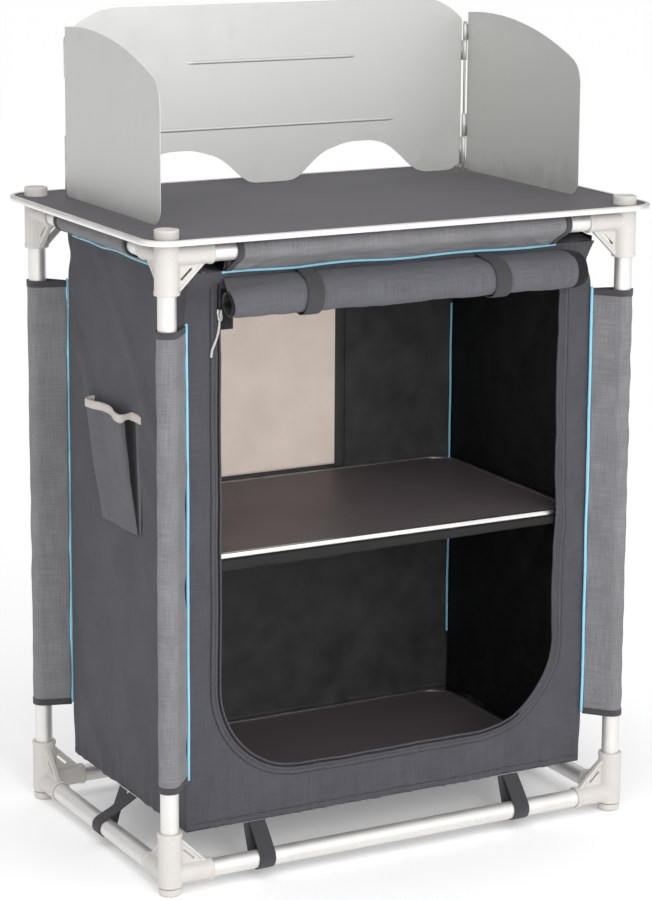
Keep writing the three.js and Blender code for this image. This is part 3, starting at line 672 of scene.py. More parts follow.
def primitive(kind, size, place, turn=(0, 0, 0), sides=64):
    """A cylinder (radius, length) or box (x, y, z) as a helper object."""
    work = bmesh.new()
    if kind == "cylinder":
        bmesh.ops.create_cone(
            work, cap_ends=True, segments=sides, radius1=size[0] * MM, radius2=size[0] * MM, depth=size[1] * MM
        )
    else:
        bmesh.ops.create_cube(work, size=MM)
        bmesh.ops.scale(work, vec=size, verts=work.verts)
    matrix = Matrix.Translation(Vector(place) * MM) @ Matrix.Rotation(turn[2], 4, "Z") @ Matrix.Rotation(
        turn[1], 4, "Y"
    ) @ Matrix.Rotation(turn[0], 4, "X")
    bmesh.ops.transform(work, matrix=matrix, verts=work.verts)
    return helper(work)


def helper(work):
    mesh = bpy.data.meshes.new("helper")
    work.to_mesh(mesh)
    work.free()
    made = bpy.data.objects.new("helper", mesh)
    SCENE.collection.objects.link(made)
    return made


def prism(outline, half, up):
    """A helper slab: an outline in the plane of the arm and the leg, half thick each way."""
    work = bmesh.new()
    near, far = (
        [work.verts.new(Vector((a, y, b)) * MM if up == "XZ" else Vector((y, a, b)) * MM) for a, b in outline]
        for y in (-half, half)
    )
    work.faces.new(near)
    work.faces.new(far)
    for i in range(len(outline)):
        j = (i + 1) % len(outline)
        work.faces.new((near[i], near[j], far[j], far[i]))
    bmesh.ops.recalc_face_normals(work, faces=work.faces)
    return helper(work)


def apply_all(made):
    """The piece's mesh with its modifiers applied."""
    baked = bpy.data.meshes.new_from_object(made.evaluated_get(bpy.context.evaluated_depsgraph_get()))
    made.modifiers.clear()
    old = made.data
    made.data = baked
    bpy.data.meshes.remove(old)
    return made


def carve(base, others, operation):
    for other in others:
        step = base.modifiers.new("step", "BOOLEAN")
        step.operation = operation
        step.solver = "EXACT"
        step.object = other
        apply_all(base)
        bpy.data.objects.remove(other)
    return base


SLEEVE_R = 15.4
ARM_R = 13.3
SOCKET = 22  # leg axis to the bottom of an arm's socket


def connector_mesh(name, side):
    """A corner about the crossing of its tubes; side is -1 where the leg is below, 1 where it is above."""
    top = side < 0
    node = ("top" if top else "bottom") + "_connector_front_left"
    centre = TOP_TUBE_Z if top else BOTTOM_TUBE_Z
    low, high = (corner.z - centre for corner in box(node))
    reach = box(node)[1].x + LEG_X
    lip = 5
    quarter = math.pi / 2
    base = primitive("cylinder", (SLEEVE_R, high - low), (0, 0, (low + high) / 2))
    mouth = low + lip / 2 if top else high - lip / 2
    adds = [primitive("cylinder", (SLEEVE_R + 0.7, lip), (0, 0, mouth))]
    cuts = []
    slots = []
    arms = [("XZ", lambda d: (d, 0, 0), (0, quarter, 0)), ("YZ", lambda d: (0, d, 0), (quarter, 0, 0))]
    for plane, at, turn in arms:
        adds.append(primitive("cylinder", (ARM_R, reach), at(reach / 2), turn))
        adds.append(primitive("cylinder", (ARM_R + 1.1, lip), at(reach - lip / 2), turn))
        web_far, web_down = 49, 45
        adds.append(prism([(8, side * 8), (web_far, side * 8), (web_far, side * 13), (15, side * web_down), (8, side * web_down)], 1.7, plane))
        rib = [(web_far + 1, side * 13), (15, side * (web_down + 2)), (15, side * (web_down - 3)), (web_far - 4, side * 13)]
        adds.append(prism(rib, 3.5, plane))
        slope = math.atan2(web_down - 13, web_far - 15)
        spot = Vector((web_far + 15 - 13, 0, side * (web_down + 13 - 9))) / 2
        slot = [
            (spot.x + u * math.cos(slope) - v * math.sin(slope), spot.z - side * (u * math.sin(slope) + v * math.cos(slope)))
            for u, v in ((-10, -1), (-9, -1.5), (9, -1.5), (10, -1), (10, 1), (9, 1.5), (-9, 1.5), (-10, 1))
        ]
        slots.append(prism(slot, 8, plane))
        cuts.append(primitive("cylinder", (TUBE_R + 0.35, reach), at(SOCKET + reach / 2), turn))
    leg_end = 17.5
    leg_bore = (abs(low) if top else high) - leg_end + 2
    cuts.append(primitive("cylinder", (TUBE_R + 0.35, leg_bore), (0, 0, side * (leg_end + leg_bore / 2))))
    if not top:
        cuts.append(primitive("cylinder", (5.3, 26), (0, 0, low + 11)))
    carve(base, adds, "UNION")
    skin = base.modifiers.new("skin", "REMESH")
    skin.mode = "VOXEL"
    skin.voxel_size = 0.85 * MM
    ease = base.modifiers.new("ease", "SMOOTH")
    ease.factor = 0.5
    ease.iterations = 7
    thin = base.modifiers.new("thin", "DECIMATE")
    thin.ratio = 0.4
    apply_all(base)
    if top:
        slots.append(primitive("cylinder", (11.6, 2), (0, 0, high + 0.2)))
    carve(base, cuts + slots, "DIFFERENCE")
    mesh = base.data
    mesh.name = name
    mesh.materials.clear()
    mesh.materials.append(LOOKS["connector"])
    mesh.polygons.foreach_set("use_smooth", [True] * len(mesh.polygons))
    mesh.set_sharp_from_angle(angle=math.radians(55))
    bpy.data.objects.remove(base)
    return mesh


def make_frame():
    for corner, turn in CORNERS.items():
        turned_tube(f"tube_leg_{corner}", f"leg_{corner}", 2)
    for level in ("top", "bottom"):
        for side, axis in (("front", 0), ("back", 0), ("left", 1), ("right", 1)):
            turned_tube(f"tube_{level}_{side}", f"{level}_tube_{side}", axis)
    for level, side, z in (("top", -1, TOP_TUBE_Z), ("bottom", 1, BOTTOM_TUBE_Z)):
        mesh = connector_mesh(f"{level}_corner", side)
        for corner, turn in CORNERS.items():
            made = bpy.data.objects.new(f"corner_{level}_{corner}", mesh)
            SCENE.collection.objects.link(made)
            leg = middle(f"leg_{corner}")
            made.matrix_world = Matrix.Translation(Vector((leg.x, leg.y, z)) * MM) @ Matrix.Rotation(
                turn * math.pi / 2, 4, "Z"
            )
            attach(made, stands_for=[f"{level}_connector_{corner}"])
    for corner in CORNERS:
        node = f"foot_{corner}"
        low, high = box(node)
        radius = (high.x - low.x) / 2
        pad = 10
        profile = [
            [0, 0.6], [4, 0.6], [5, 0], [radius - 3.4, 0], [radius - 2.2, 0.3], [radius - 1.1, 1.1],
            [radius - 0.3, 2.4], [radius, 4], [radius, pad - 1.4], [radius - 0.4, pad - 0.5],
            [radius - 1.3, pad], [5, pad], [5, high.z], [0, high.z],
        ]
        points, faces = lathe(profile, 64)
        points = points + np.array([middle(node).x, middle(node).y, 0])
        crease(weld(make(f"pad_{corner}", points, faces, "foot", stands_for=[node])), 50)


# ---------------------------------------------------------------- boards and trims
def round_corners(half_x, half_y, corner, steps=14):
    turns = np.linspace(0, math.pi / 2, steps + 1)
    points = []
    for quarter, (sx, sy) in enumerate(((1, 1), (-1, 1), (-1, -1), (1, -1))):
        angles = turns + quarter * math.pi / 2
        points.append(
            np.stack(
                [sx * (half_x - corner) + corner * np.cos(angles), sy * (half_y - corner) + corner * np.sin(angles)],
                -1,
            )
        )
    return np.concatenate(points)


def circle(x, y, radius, sides=40):
    turns = np.arange(sides) * 2 * math.pi / sides
    return np.stack([x + radius * np.cos(turns), y + radius * np.sin(turns)], -1)


def plate(name, outlines, thickness, bevel):
    """A flat plate with holes, its edges softened, lying in X and Y about z 0."""
    curve = bpy.data.curves.new(name, "CURVE")
    curve.dimensions = "2D"
    curve.fill_mode = "BOTH"
    curve.extrude = (thickness / 2 - bevel) * MM
    curve.bevel_depth = bevel * MM
    curve.bevel_resolution = 1
    curve.offset = -bevel * MM
    for outline in outlines:
        line = curve.splines.new("POLY")
        line.points.add(len(outline) - 1)
        for point, (x, y) in zip(line.points, outline):
            point.co = (x * MM, y * MM, 0, 1)
        line.use_cyclic_u = True
    made = bpy.data.objects.new(name, curve)
    SCENE.collection.objects.link(made)
    mesh = bpy.data.meshes.new_from_object(made.evaluated_get(bpy.context.evaluated_depsgraph_get()))
    bpy.data.objects.remove(made)
    mesh.name = name
    return mesh


def plate_piece(name, outlines, thickness, bevel, look, place, turn=Matrix(), stands_for=()):
    mesh = plate(name, outlines, thickness, bevel)
    mesh.materials.clear()
    mesh.materials.append(LOOKS[look])
    mesh.transform(Matrix.Translation(Vector(place) * MM) @ turn)
    made = bpy.data.objects.new(name, mesh)
    SCENE.collection.objects.link(made)
    crease(weld(made, 0.005), 30)
    up = turn.to_3x3() @ Vector((0, 0, 1))
    mesh.polygons.foreach_set("use_smooth", [abs(face.normal.dot(up)) < 0.999 for face in mesh.polygons])
    return attach(made, stands_for=stands_for)


def make_board(node, name, look, holes=()):
    low, high = box(node)
    corner = 36
    outlines = [round_corners(high.x, high.y, corner)] + [circle(*hole) for hole in holes]
    plate_piece(name, outlines, high.z - low.z, 0.4, look, middle(node), stands_for=[node])


def make_trim(node, name):
    """An aluminium edging: a rolled outer face with a shallow groove, and a lip over the board."""
    low, high = box(node)
    corner = 38
    tall = high.z - low.z
    lip = 6
    section = [
        [1.2, 0.1], [1.2, tall - 1.1], [lip, tall - 1.1], [lip, tall - 0.35], [lip - 0.4, tall],
        [2.0, tall], [1.0, tall - 0.25], [0.35, tall - 0.9], [0.0, tall - 2.0], [0.25, tall - 2.6],
        [0.0, tall - 3.2], [0.0, 1.2], [0.3, 0.4], [0.8, 0.0],
    ]
    rings = []
    for inset, z in section:
        outline = round_corners(high.x - inset, high.y - inset, corner - inset)
        rings.append(np.column_stack([outline, np.full(len(outline), low.z + z)]))
    points = np.array(rings)
    faces = lattice(points.shape[0], points.shape[1], wrap=True, close=True)
    crease(weld(make(name, points, faces, "trim", stands_for=[node])), 40)


def make_boards():
    legs = [(middle(f"leg_{c}").x, middle(f"leg_{c}").y, SLEEVE_R + 0.45) for c in CORNERS]
    wires = [(side * HINGE_X, HINGE_Y, 2.2, 16) for side in (-1, 1)]
    make_board("worktop_board", "laminate_worktop", "worktop", legs + wires)
    make_trim("worktop_trim", "edging_worktop")
    for level in ("mid", "bottom"):
        make_board(f"{level}_shelf_board", f"laminate_{level}_shelf", "shelf_board")
        make_trim(f"{level}_shelf_trim", f"edging_{level}_shelf")


# ---------------------------------------------------------------- windshield
BARREL_R = 3.2
SHEET = 1.0
SHEET_EDGE = 4
UPRIGHT = Matrix.Rotation(math.pi / 2, 4, "X")
ARCH = [
    [23, 1], [34, 3], [46, 10], [65, 27], [80, 37.5], [96, 43.5], [118, 49], [140, 50],
    [162, 48.5], [182, 41], [200, 27], [214, 14], [227, 5], [240, 1.4], [247, 1],
]


def arc(cx, cy, radius, start, end, steps):
    turns = np.linspace(start, end, steps)
    return np.stack([cx + radius * np.cos(turns), cy + radius * np.sin(turns)], -1)


def panel_outline():
    edge = HINGE_X - SHEET_EDGE
    corner, top = 99, 244
    centre = edge - 72.5
    start = math.acos((edge - centre) / corner)
    arch = smooth_path([[x, z, 0] for x, z in ARCH], 3)[:, :2]
    foot = smooth_path([[247, 1, 0], [272, 1, 0], [283, 2.2, 0], [289, 5.5, 0], [edge, 11, 0]], 2)[1:, :2]
    half = np.concatenate([arch, foot, arc(centre, top - corner, corner, start, math.pi / 2, 26)])
    return np.concatenate([half, half[::-1] * [-1, 1]])


def wing_outline():
    length, crown_u, crown_z, crown_r = 292, 60, 225, 536
    top_r, low_r, lift = 36, 20, 1
    centre_z = crown_z - crown_r
    corner_u = length - top_r
    rise = math.sqrt((crown_r - top_r) ** 2 - (corner_u - crown_u) ** 2)
    meet = math.atan2(rise, corner_u - crown_u)
    end = math.acos((SHEET_EDGE - crown_u) / crown_r)
    return np.concatenate(
        [
            [[SHEET_EDGE, 7], [SHEET_EDGE + 1.6, 3], [SHEET_EDGE + 6, lift]],
            arc(length - low_r, lift + low_r, low_r, -math.pi / 2, 0, 12),
            arc(corner_u, centre_z + rise, top_r, 0, meet, 14),
            arc(crown_u, centre_z, crown_r, meet, end, 40)[1:],
        ]
    )


def barrel_shell(x, y, low, high, sides=32):
    """A rolled knuckle with a wire hole through it."""
    inner = 2.2
    profile = [
        [inner, low], [BARREL_R - 0.35, low], [BARREL_R, low + 0.35], [BARREL_R, high - 0.35],
        [BARREL_R - 0.35, high], [inner, high],
    ]
    points, _ = lathe(profile, sides)
    return points + np.array([x, y, 0]), lattice(len(profile), sides, wrap=True, close=True)


def bead_shell(length, y, z, steps=60, tall=5, depth=1.6):
    """A pressed bead along X that stands forward of the sheet and dies away at its ends."""
    x = np.linspace(-length / 2, length / 2, steps)
    share = np.clip((length / 2 - np.abs(x)) / 9, 0, 1) ** 0.5
    turns = np.linspace(0, math.pi, 9)
    points = np.stack(
        np.broadcast_arrays(
            x[:, None],
            y + 0.15 - (depth + 0.15) * np.sin(turns) * share[:, None],
            z + tall / 2 * np.cos(turns) * (0.4 + 0.6 * share[:, None]),
        ),
        -1,
    )
    return points, lattice(steps, len(turns))


def join_shells(made, shells, matrix=Matrix()):
    """Adds shells to a piece's mesh."""
    work = bmesh.new()
    work.from_mesh(made.data)
    for points, faces in shells:
        verts = [work.verts.new(matrix @ (Vector(p) * MM)) for p in np.asarray(points).reshape(-1, 3)]
        for face in faces:
            corners = [verts[int(k)] for k in face]
            if len(set(corners)) == len(corners):
                work.faces.new(corners).smooth = True
    work.to_mesh(made.data)
    work.free()
    return made


def block_shell(low, high):
    """A plain block, for the short tabs that run from a sheet into its knuckle."""
    points = [[(low, high)[i][0], (low, high)[j][1], (low, high)[k][2]] for i in (0, 1) for j in (0, 1) for k in (0, 1)]
    faces = [(0, 1, 3, 2), (4, 6, 7, 5), (0, 4, 5, 1), (2, 3, 7, 6), (0, 2, 6, 4), (1, 5, 7, 3)]
    return points, faces


def make_windshield():
    panel_knuckles = [[9, 47.4], [155, 182.4]]
    wing_knuckles = [[48, 80], [183, 206]]
    behind = HINGE_Y + BARREL_R - SHEET / 2
    back = plate_piece(
        "sheet_back", [panel_outline()], SHEET, 0.25, "windshield", (0, behind, RIM_Z), UPRIGHT, ["windshield_back"]
    )
    shells = [bead_shell(255, behind - SHEET / 2, RIM_Z + 167.5), bead_shell(380, behind - SHEET / 2, RIM_Z + 78.4)]
    for side in (-1, 1):
        for low, high in panel_knuckles:
            shells.append(barrel_shell(side * HINGE_X, HINGE_Y, RIM_Z + low, RIM_Z + high))
            inner, outer = sorted((side * (HINGE_X - SHEET_EDGE - 1), side * HINGE_X))
            shells.append(
                block_shell(
                    (inner, behind - SHEET / 2, RIM_Z + low + 0.2), (outer, behind + SHEET / 2, RIM_Z + high - 0.2)
                )
            )
    join_shells(back, shells)
    for name, side in (("left", -1), ("right", 1)):
        outside = side * (HINGE_X + BARREL_R - SHEET / 2)
        sideways = Matrix.Rotation(-math.pi / 2, 4, "Z") @ UPRIGHT
        wing = plate_piece(
            f"sheet_{name}", [wing_outline()], SHEET, 0.25, "windshield", (outside, HINGE_Y, RIM_Z), sideways,
            [f"windshield_{name}"],
        )
        shells = []
        for low, high in wing_knuckles:
            shells.append(barrel_shell(side * HINGE_X, HINGE_Y, RIM_Z + low, RIM_Z + high))
            inner, outer = sorted((outside - side * SHEET / 2, outside + side * SHEET / 2))
            shells.append(
                block_shell((inner, HINGE_Y - SHEET_EDGE - 1, RIM_Z + low + 0.2), (outer, HINGE_Y, RIM_Z + high - 0.2))
            )
        join_shells(wing, shells)
        node = f"hinge_wire_{name}"
        low, high = box(node)
        profile = [
            [0, low.z], [1.0, low.z + 0.2], [1.6, low.z + 1], [1.8, low.z + 2.2], [1.8, high.z - 2.6],
            [2.7, high.z - 1.9], [2.7, high.z - 0.7], [1.9, high.z], [0, high.z],
        ]
        points, faces = lathe(profile, 24)
        points = points + np.array([side * HINGE_X, HINGE_Y, 0])
        crease(weld(make(f"wire_{name}", points, faces, "wire", stands_for=[node])), 50)


# ---------------------------------------------------------------- cabinet
CLOTH = 1.1
HEM = 9  # the hem's stitching, above the lower edge
TAIL_OUT = 5.5  # how far the top seams stand out from the walls
DOOR_X = 247  # half the opening
DOOR_BASE = 135
DOOR_TOP = 770
DOOR_CORNER = 115


def corner_pull(height, waist):
    """How far a corner seam is drawn in, above the leg sleeves where nothing holds it."""
    top = (height - SLEEVE_HIGH) / (FRONT_TOP - SLEEVE_HIGH)
    foot = np.exp(-(((height - CABINET_BASE - 18) / 24) ** 2)) * 1.2
    return waist * np.exp(-(((top - 0.55) / 0.26) ** 2)) + foot


def hem(height):
    """The dip along the hem's stitching, and the rolled edge below it."""
    seam = 0.9 * np.exp(-(((height - CABINET_BASE - HEM) / 1.8) ** 2))
    return seam + 1.6 * np.exp(-(((height - CABINET_BASE) / 3.0) ** 2))


def folds(a, h, seed, size=42):
    """Long shallow folds that run on the slant."""
    one = np.maximum(bumps(a + 0.7 * h, 0.2 * h, size, seed), 0) ** 2
    two = np.maximum(bumps(a - 0.8 * h, 0.2 * h, size * 1.3, seed + 1), 0) ** 2
    return one + two


def heights(top):
    """Rows up a wall, closer together at the hem and under the top seam."""
    return np.concatenate(
        [
            np.linspace(CABINET_BASE, CABINET_BASE + 18, 15)[:-1],
            np.linspace(CABINET_BASE + 18, top - 18, 110)[:-1],
            np.linspace(top - 18, top, 10),
        ]
    )


def hem_puckers(across, height, base, seed, depth=0.9, reach=34):
    """Short upright wrinkles that a sewn hem gathers."""
    fade = np.exp(-np.maximum(height - base, 0) / reach)
    return depth * fade * bumps(across, across * 0 + seed, 9, seed, 7)


def wall(name, node, half, axis, sign, top, seed, backing="shaded_lining", hole=None):
    """One straight wall: axis 0 for front and back, 1 for the sides; sign is its outside."""
    depth = (CABINET_Y if axis == 0 else CABINET_X) - 0.1
    across = np.linspace(-half, half, 100)
    height = heights(top)
    if hole:
        across = np.sort(np.concatenate([across, [-hole[0], hole[0]]]))
        height = np.sort(np.concatenate([height, hole[1:]]))
    a, h = np.meshgrid(across, height)
    edge = np.clip((half - np.abs(a)) / 60, 0, 1)
    calm = np.clip((half - np.abs(a)) / 30, 0, 1)
    if hole:
        outside = np.maximum(np.abs(a) - hole[0], np.maximum(hole[1] - h, h - hole[2]))
        calm = calm * np.clip(outside / 40, 0, 1)
    waist = np.where(a < 0, 5.0, 2.5) if axis == 1 else 2.5
    pull = corner_pull(h, waist)
    out = 1.6 * calm * bumps(a, h, 75, seed) + 0.45 * calm * bumps(a, h, 22, seed + 1)
    out = out + 1.5 * calm * folds(a, h, seed + 4)
    out = out + hem_puckers(a, h, CABINET_BASE, seed + 2) + 0.7 * np.exp(-(top - h) / 20) * bumps(a, h, 14, seed + 3)
    out = out - pull * (1 - edge) ** 2 - hem(h)
    a = a - np.sign(a) * pull * (1 - edge) ** 2
    out = out + TAIL_OUT * np.clip((h - top + 16) / 16, 0, 1) ** 2 * calm
    face = sign * (depth + out)
    points = np.stack([a, face, h], -1) if axis == 0 else np.stack([face, a, h], -1)
    faces = lattice(len(height), len(across))
    if (axis == 0) == (sign > 0):
        faces = faces[:, ::-1]
    if hole:
        centre = points.reshape(-1, 3)[faces].mean(1)
        faces = faces[(np.abs(centre[:, 0]) > hole[0]) | (centre[:, 2] < hole[1]) | (centre[:, 2] > hole[2])]
    flat = np.stack([a, h], -1)
    made = make(name, points, faces, "cabinet_fabric", stands_for=[node], flat=flat, backing=backing)
    # The inside takes the backing look; by default that is the darker lining copy, which paints shade.
    thicken(made, CLOTH, -1, backing=True)
    return made


def door_path(inset, pitch=3.5):
    """The U of the door opening, moved outward by inset, from top left round to top right."""
    x, base, corner = DOOR_X + inset, DOOR_BASE - inset, DOOR_CORNER + inset
    centre = DOOR_X - DOOR_CORNER
    rise = DOOR_BASE + DOOR_CORNER
    left = [[-x, DOOR_TOP], [-x, rise]]
    bend = arc(-centre, rise, corner, math.pi, 1.5 * math.pi, 40)
    other = arc(centre, rise, corner, 1.5 * math.pi, 2 * math.pi, 40)
    line = np.concatenate([left, bend, other, [[x, rise], [x, DOOR_TOP]]])
    assert abs(bend[-1][1] - base) < 1e-6
    spots = np.column_stack([line[:, 0], np.zeros(len(line)), line[:, 1]])
    return evenly(spots, pitch)


def front_relief(x, z):
    """How far the front wall stands out at a point, apart from its edges' own pull."""
    calm = np.clip(np.abs(x + DOOR_X) / 50, 0.5, 1)  # the zip's tape keeps the cloth beside it flatter
    soft = 1.5 * bumps(x, z, 60, 11) + 0.6 * bumps(x, z, 20, 12) + 1.4 * folds(x, z, 15)
    return calm * soft + hem_puckers(x, z, CABINET_BASE, 13, 1.5, 50)


def front_place(x, z):
    """A point of the front wall's outside, with the corner seams drawn in."""
    pull = corner_pull(z, 5.0)
    near = np.clip((CABINET_X - np.abs(x)) / 46, 0, 1)
    calm = np.clip((CABINET_X - np.abs(x)) / 22, 0, 1)
    out = calm * front_relief(x, z) - pull * (1 - near) ** 2 - hem(z)
    return np.stack([x - np.sign(x) * pull * (1 - near) ** 2, -(CABINET_Y - 0.1) - out, z], -1)


def make_front():
    """The front wall: a band of cloth round the U opening, and a header above it."""
    inner = door_path(0)
    x, z = inner[:, 0], inner[:, 2]
    rise = DOOR_BASE + DOOR_CORNER
    centre = np.clip(x, -(DOOR_X - DOOR_CORNER), DOOR_X - DOOR_CORNER)
    level = np.maximum(z, rise)
    heading = np.stack([x - centre, z - level], -1)
    heading /= np.linalg.norm(heading, axis=1)[:, None]
    to_side = (CABINET_X - np.abs(x)) / np.maximum(np.abs(heading[:, 0]), 1e-6)
    to_base = (z - CABINET_BASE) / np.maximum(-heading[:, 1], 1e-6)
    far = np.minimum(to_side, to_base)
    corner_at = [int(np.argmin(np.abs(to_side - to_base) + 1e4 * (sign * x < 0) + 1e4 * (z > rise))) for sign in (-1, 1)]
    outer = inner[:, [0, 2]] + heading * far[:, None]
    for index, sign in zip(corner_at, (-1, 1)):
        outer[index] = [sign * CABINET_X, CABINET_BASE]
    share = np.linspace(0, 1, 44)[:, None, None]
    spots = inner[:, [0, 2]] + share * (outer - inner[:, [0, 2]])
    points = front_place(spots[..., 0], spots[..., 1])
    faces = lattice(points.shape[0], points.shape[1])[:, ::-1]
    made = make("cloth_front", points, faces, "cabinet_fabric", stands_for=["cabinet_front"], flat=spots, backing="lining")
    thicken(made, CLOTH, -1, backing=True)
    area = 2 * CABINET_X * (DOOR_TOP - CABINET_BASE) - 2 * DOOR_X * (DOOR_TOP - DOOR_BASE)
    area += (2 - math.pi / 2) * DOOR_CORNER**2
    a, h = np.meshgrid(np.linspace(-CABINET_X, CABINET_X, 200), np.linspace(DOOR_TOP - 6, FRONT_TOP, 9))
    points = front_place(a, h)
    points[..., 1] -= 0.9 + TAIL_OUT * np.clip((h - DOOR_TOP) / (FRONT_TOP - DOOR_TOP), 0, 1) ** 2
    header = make("cloth_header", points, lattice(9, 200), "cabinet_fabric", flat=np.stack([a, h], -1), backing="lining")
    thicken(header, CLOTH, -1, backing=True)


def front_strip(name, insets, lifts, look, share=1.0, body_thick=0.8):
    """A strip that follows the opening's edge, insets outside it and lifts off the front wall."""
    rows = []
    for inset, lift in zip(insets, lifts):
        line = door_path(inset)
        line = front_place(line[:, 0], line[:, 2]) + np.array([0, -lift, 0])
        run, _, line = along_path(line)
        at = np.linspace(0, run[-1] * share, ZIP_STEPS)
        rows.append(np.stack([np.interp(at, run, line[:, k]) for k in range(3)], -1))
    run = along_path(rows[0])[0]
    flat = np.stack(np.broadcast_arrays(np.asarray(insets)[:, None], run), -1)
    made = make(name, np.array(rows), lattice(len(rows), ZIP_STEPS)[:, ::-1], look, flat=flat)
    return thicken(made, body_thick, -1), run[-1]


ZIP_STEPS = 520


def make_zip():
    """The U zip: a thin inner lip, the black tape with its coil, a folded facing and two seams, and a black sheet of
    painted shade.
    """
    facing, length = front_strip(
        "zip_facing", [-0.4, 0.2, 1.0, 1.9, 2.3, 4.8, 5.2, 6.2, 8.6, 11.5, 14.2, 15.2],
        [0.3, 1.1, 1.3, 1.1, 0.35, 0.35, 1.2, 1.6, 1.2, 1.5, 1.2, 0.1], "cabinet_fabric",
    )
    tape, _ = front_strip("zip_tape", [2.3, 3.5, 4.8], [1.0, 1.15, 1.0], "zip_tape", 0.62, 0.5)
    # A black sheet just behind the front wall at the opening's top left, beside the roll's end: painted shade that
    # hides the pale window behind.
    across, up = np.meshgrid(np.linspace(-DOOR_X - 1, 18 - DOOR_X, 6), np.linspace(712, FRONT_TOP - 8, 30))
    depth = 2.2 + 0.5 * bumps(up, across, 24, 19)
    shade_sheet = make("painted_shade_sheet", np.stack([across, depth - CABINET_Y, up], -1), lattice(30, 6), "zip_tape",
                 flat=np.stack([across, up], -1))
    thicken(shade_sheet, 0.6, 0)
    line = door_path(3.5, 1.5)
    line = front_place(line[:, 0], line[:, 2])[: int(0.61 * len(line))]
    line[:, 1] -= 1.5 + 0.7 * (np.arange(len(line)) % 2)
    cord_piece("zip_coil", line, 0.6, "zip_tape", sides=6)
    rows = []
    for inset in (8.6, 14.2):
        seam = door_path(inset)
        rows.append(front_place(seam[:, 0], seam[:, 2]) + np.array([0, -1.2, 0]))
    stitches("zip_stitching", rows, (0, -1, 0))


def piping(name, path, radius=1.9):
    return cord_piece(name, path, radius, "piping", sides=10)


def teardrop(tube, tail, around=44, gap=0.5):
    """The loop of cloth round a tube, drawn in to a seam: [across, up] points, the tail at the join."""
    (tx, ty), (sx, sy) = tube, tail
    radius = TUBE_R + gap + CLOTH / 2
    away = math.hypot(sx - tx, sy - ty)
    heading = math.atan2(sy - ty, sx - tx)
    lean = math.acos(radius / away)
    wrap = arc(tx, ty, radius, heading + lean, heading + 2 * math.pi - lean, around)
    tail_gap = 0.9
    normal = np.array([-math.sin(heading), math.cos(heading)])
    first = np.array(tail) + normal * tail_gap
    last = np.array(tail) - normal * tail_gap
    reach = 14
    into = np.linspace(0, 1, reach)[:, None]
    return np.concatenate([first + into * (wrap[0] - first), wrap[1:-1], wrap[-1] + into * (last - wrap[-1])])


def tunnel(name, node, section, low, high, to_space, relief, skew=None, bind=8.5, steps=120):
    """A sleeve of that section between low and high, with its two bound ends. relief moves it outward."""
    section = np.asarray(section)
    run = np.concatenate([[0], np.cumsum(np.linalg.norm(np.diff(section, axis=0), axis=1))])
    heading = np.gradient(section, axis=0)
    heading /= np.linalg.norm(heading, axis=1)[:, None]
    out = np.stack([heading[:, 1], -heading[:, 0]], -1)
    share = np.linspace(0, 1, steps)

    def skin(start, end, rows, lift):
        s = np.linspace(start, end, rows)[:, None]
        place = s + (skew(run, run[-1], s, low, high) if skew else 0)
        grow = lift + relief(run[None, :], s)
        cross = section[None] + out[None] * grow[..., None]
        return to_space(cross, np.broadcast_to(place, grow.shape)), np.stack(np.broadcast_arrays(run[None, :], s), -1)

    points, flat = skin(low + bind * 0.6, high - bind * 0.6, len(share), 0)
    made = make(name, points, lattice(len(share), len(section)), "sleeve_fabric", stands_for=[node], flat=flat)
    thicken(made, 0.8, 0)
    weld_normals(made)
    for k, (start, end) in enumerate(((low, low + bind), (high - bind, high))):
        points, flat = skin(start, end, 5, 0.75)
        flat = flat[..., ::-1]
        end_piece = make(f"{name}_binding_{k + 1}", points, lattice(5, len(section)), "binding", flat=flat)
        thicken(end_piece, 1.0, 0)
        weld_normals(end_piece)
    return made


def weld_normals(made):
    work = bmesh.new()
    work.from_mesh(made.data)
    bmesh.ops.recalc_face_normals(work, faces=work.faces)
    work.to_mesh(made.data)
    work.free()


def make_sleeves():
    for index, corner in enumerate(CORNERS):
        leg = middle(f"leg_{corner}")
        sx, sy = math.copysign(1, leg.x), math.copysign(1, leg.y)
        front = sy < 0
        tail = (sx * (CABINET_X + (1.0 if front else 2.0)), sy * (CABINET_Y + (3.4 if front else 1.4)))
        section = teardrop((leg.x, leg.y), tail)
        seed = 40 + 5 * index

        def relief(run, s, seed=seed, total=None):
            flatness = np.exp(-((run / 26) ** 2)) + np.exp(-(((run - 118) / 26) ** 2))
            ends = np.clip(np.minimum(s - SLEEVE_LOW, SLEEVE_HIGH - s) / 25, 0, 1)
            fold = 1.5 * flatness * bumps(run, s, 34, seed) * np.clip(run / 8, 0, 1)
            return ends * (fold + 0.55 * bumps(run, s, 26, seed + 1)) + 0.25

        to_space = lambda cross, s: np.stack([cross[..., 0], cross[..., 1], s], -1)
        tunnel(f"sleeve_{corner}", f"leg_sleeve_{corner}", section, SLEEVE_LOW, SLEEVE_HIGH, to_space, relief, steps=150)
        x, y = sx * (CABINET_X + (-1.4 if front else 1.2)), sy * (CABINET_Y + (4.8 if front else 1.2))
        line = [[x, y, z] for z in np.linspace(SLEEVE_LOW + 4, SLEEVE_HIGH + 1, 60)]
        line = np.array(line)
        line[:, 0] += 0.5 * bumps(line[:, 2], line[:, 2] * 0, 60, seed + 2)
        piping(f"piping_{corner}", line)
        inside = line.copy()
        inside[:, 0] -= sx * (4.2 if front else 6.0)
        inside[:, 1] -= sy * (8.0 if front else 5.2)
        piping(f"piping_inside_{corner}", inside[2:-8], 1.6)
    top_sleeve("front", 0, -1, (-246, 232), 60)
    top_sleeve("back", 0, 1, (-243, 243), 65)
    top_sleeve("left", 1, -1, (-106, 136), 70)
    top_sleeve("right", 1, 1, (-111, 111), 75)


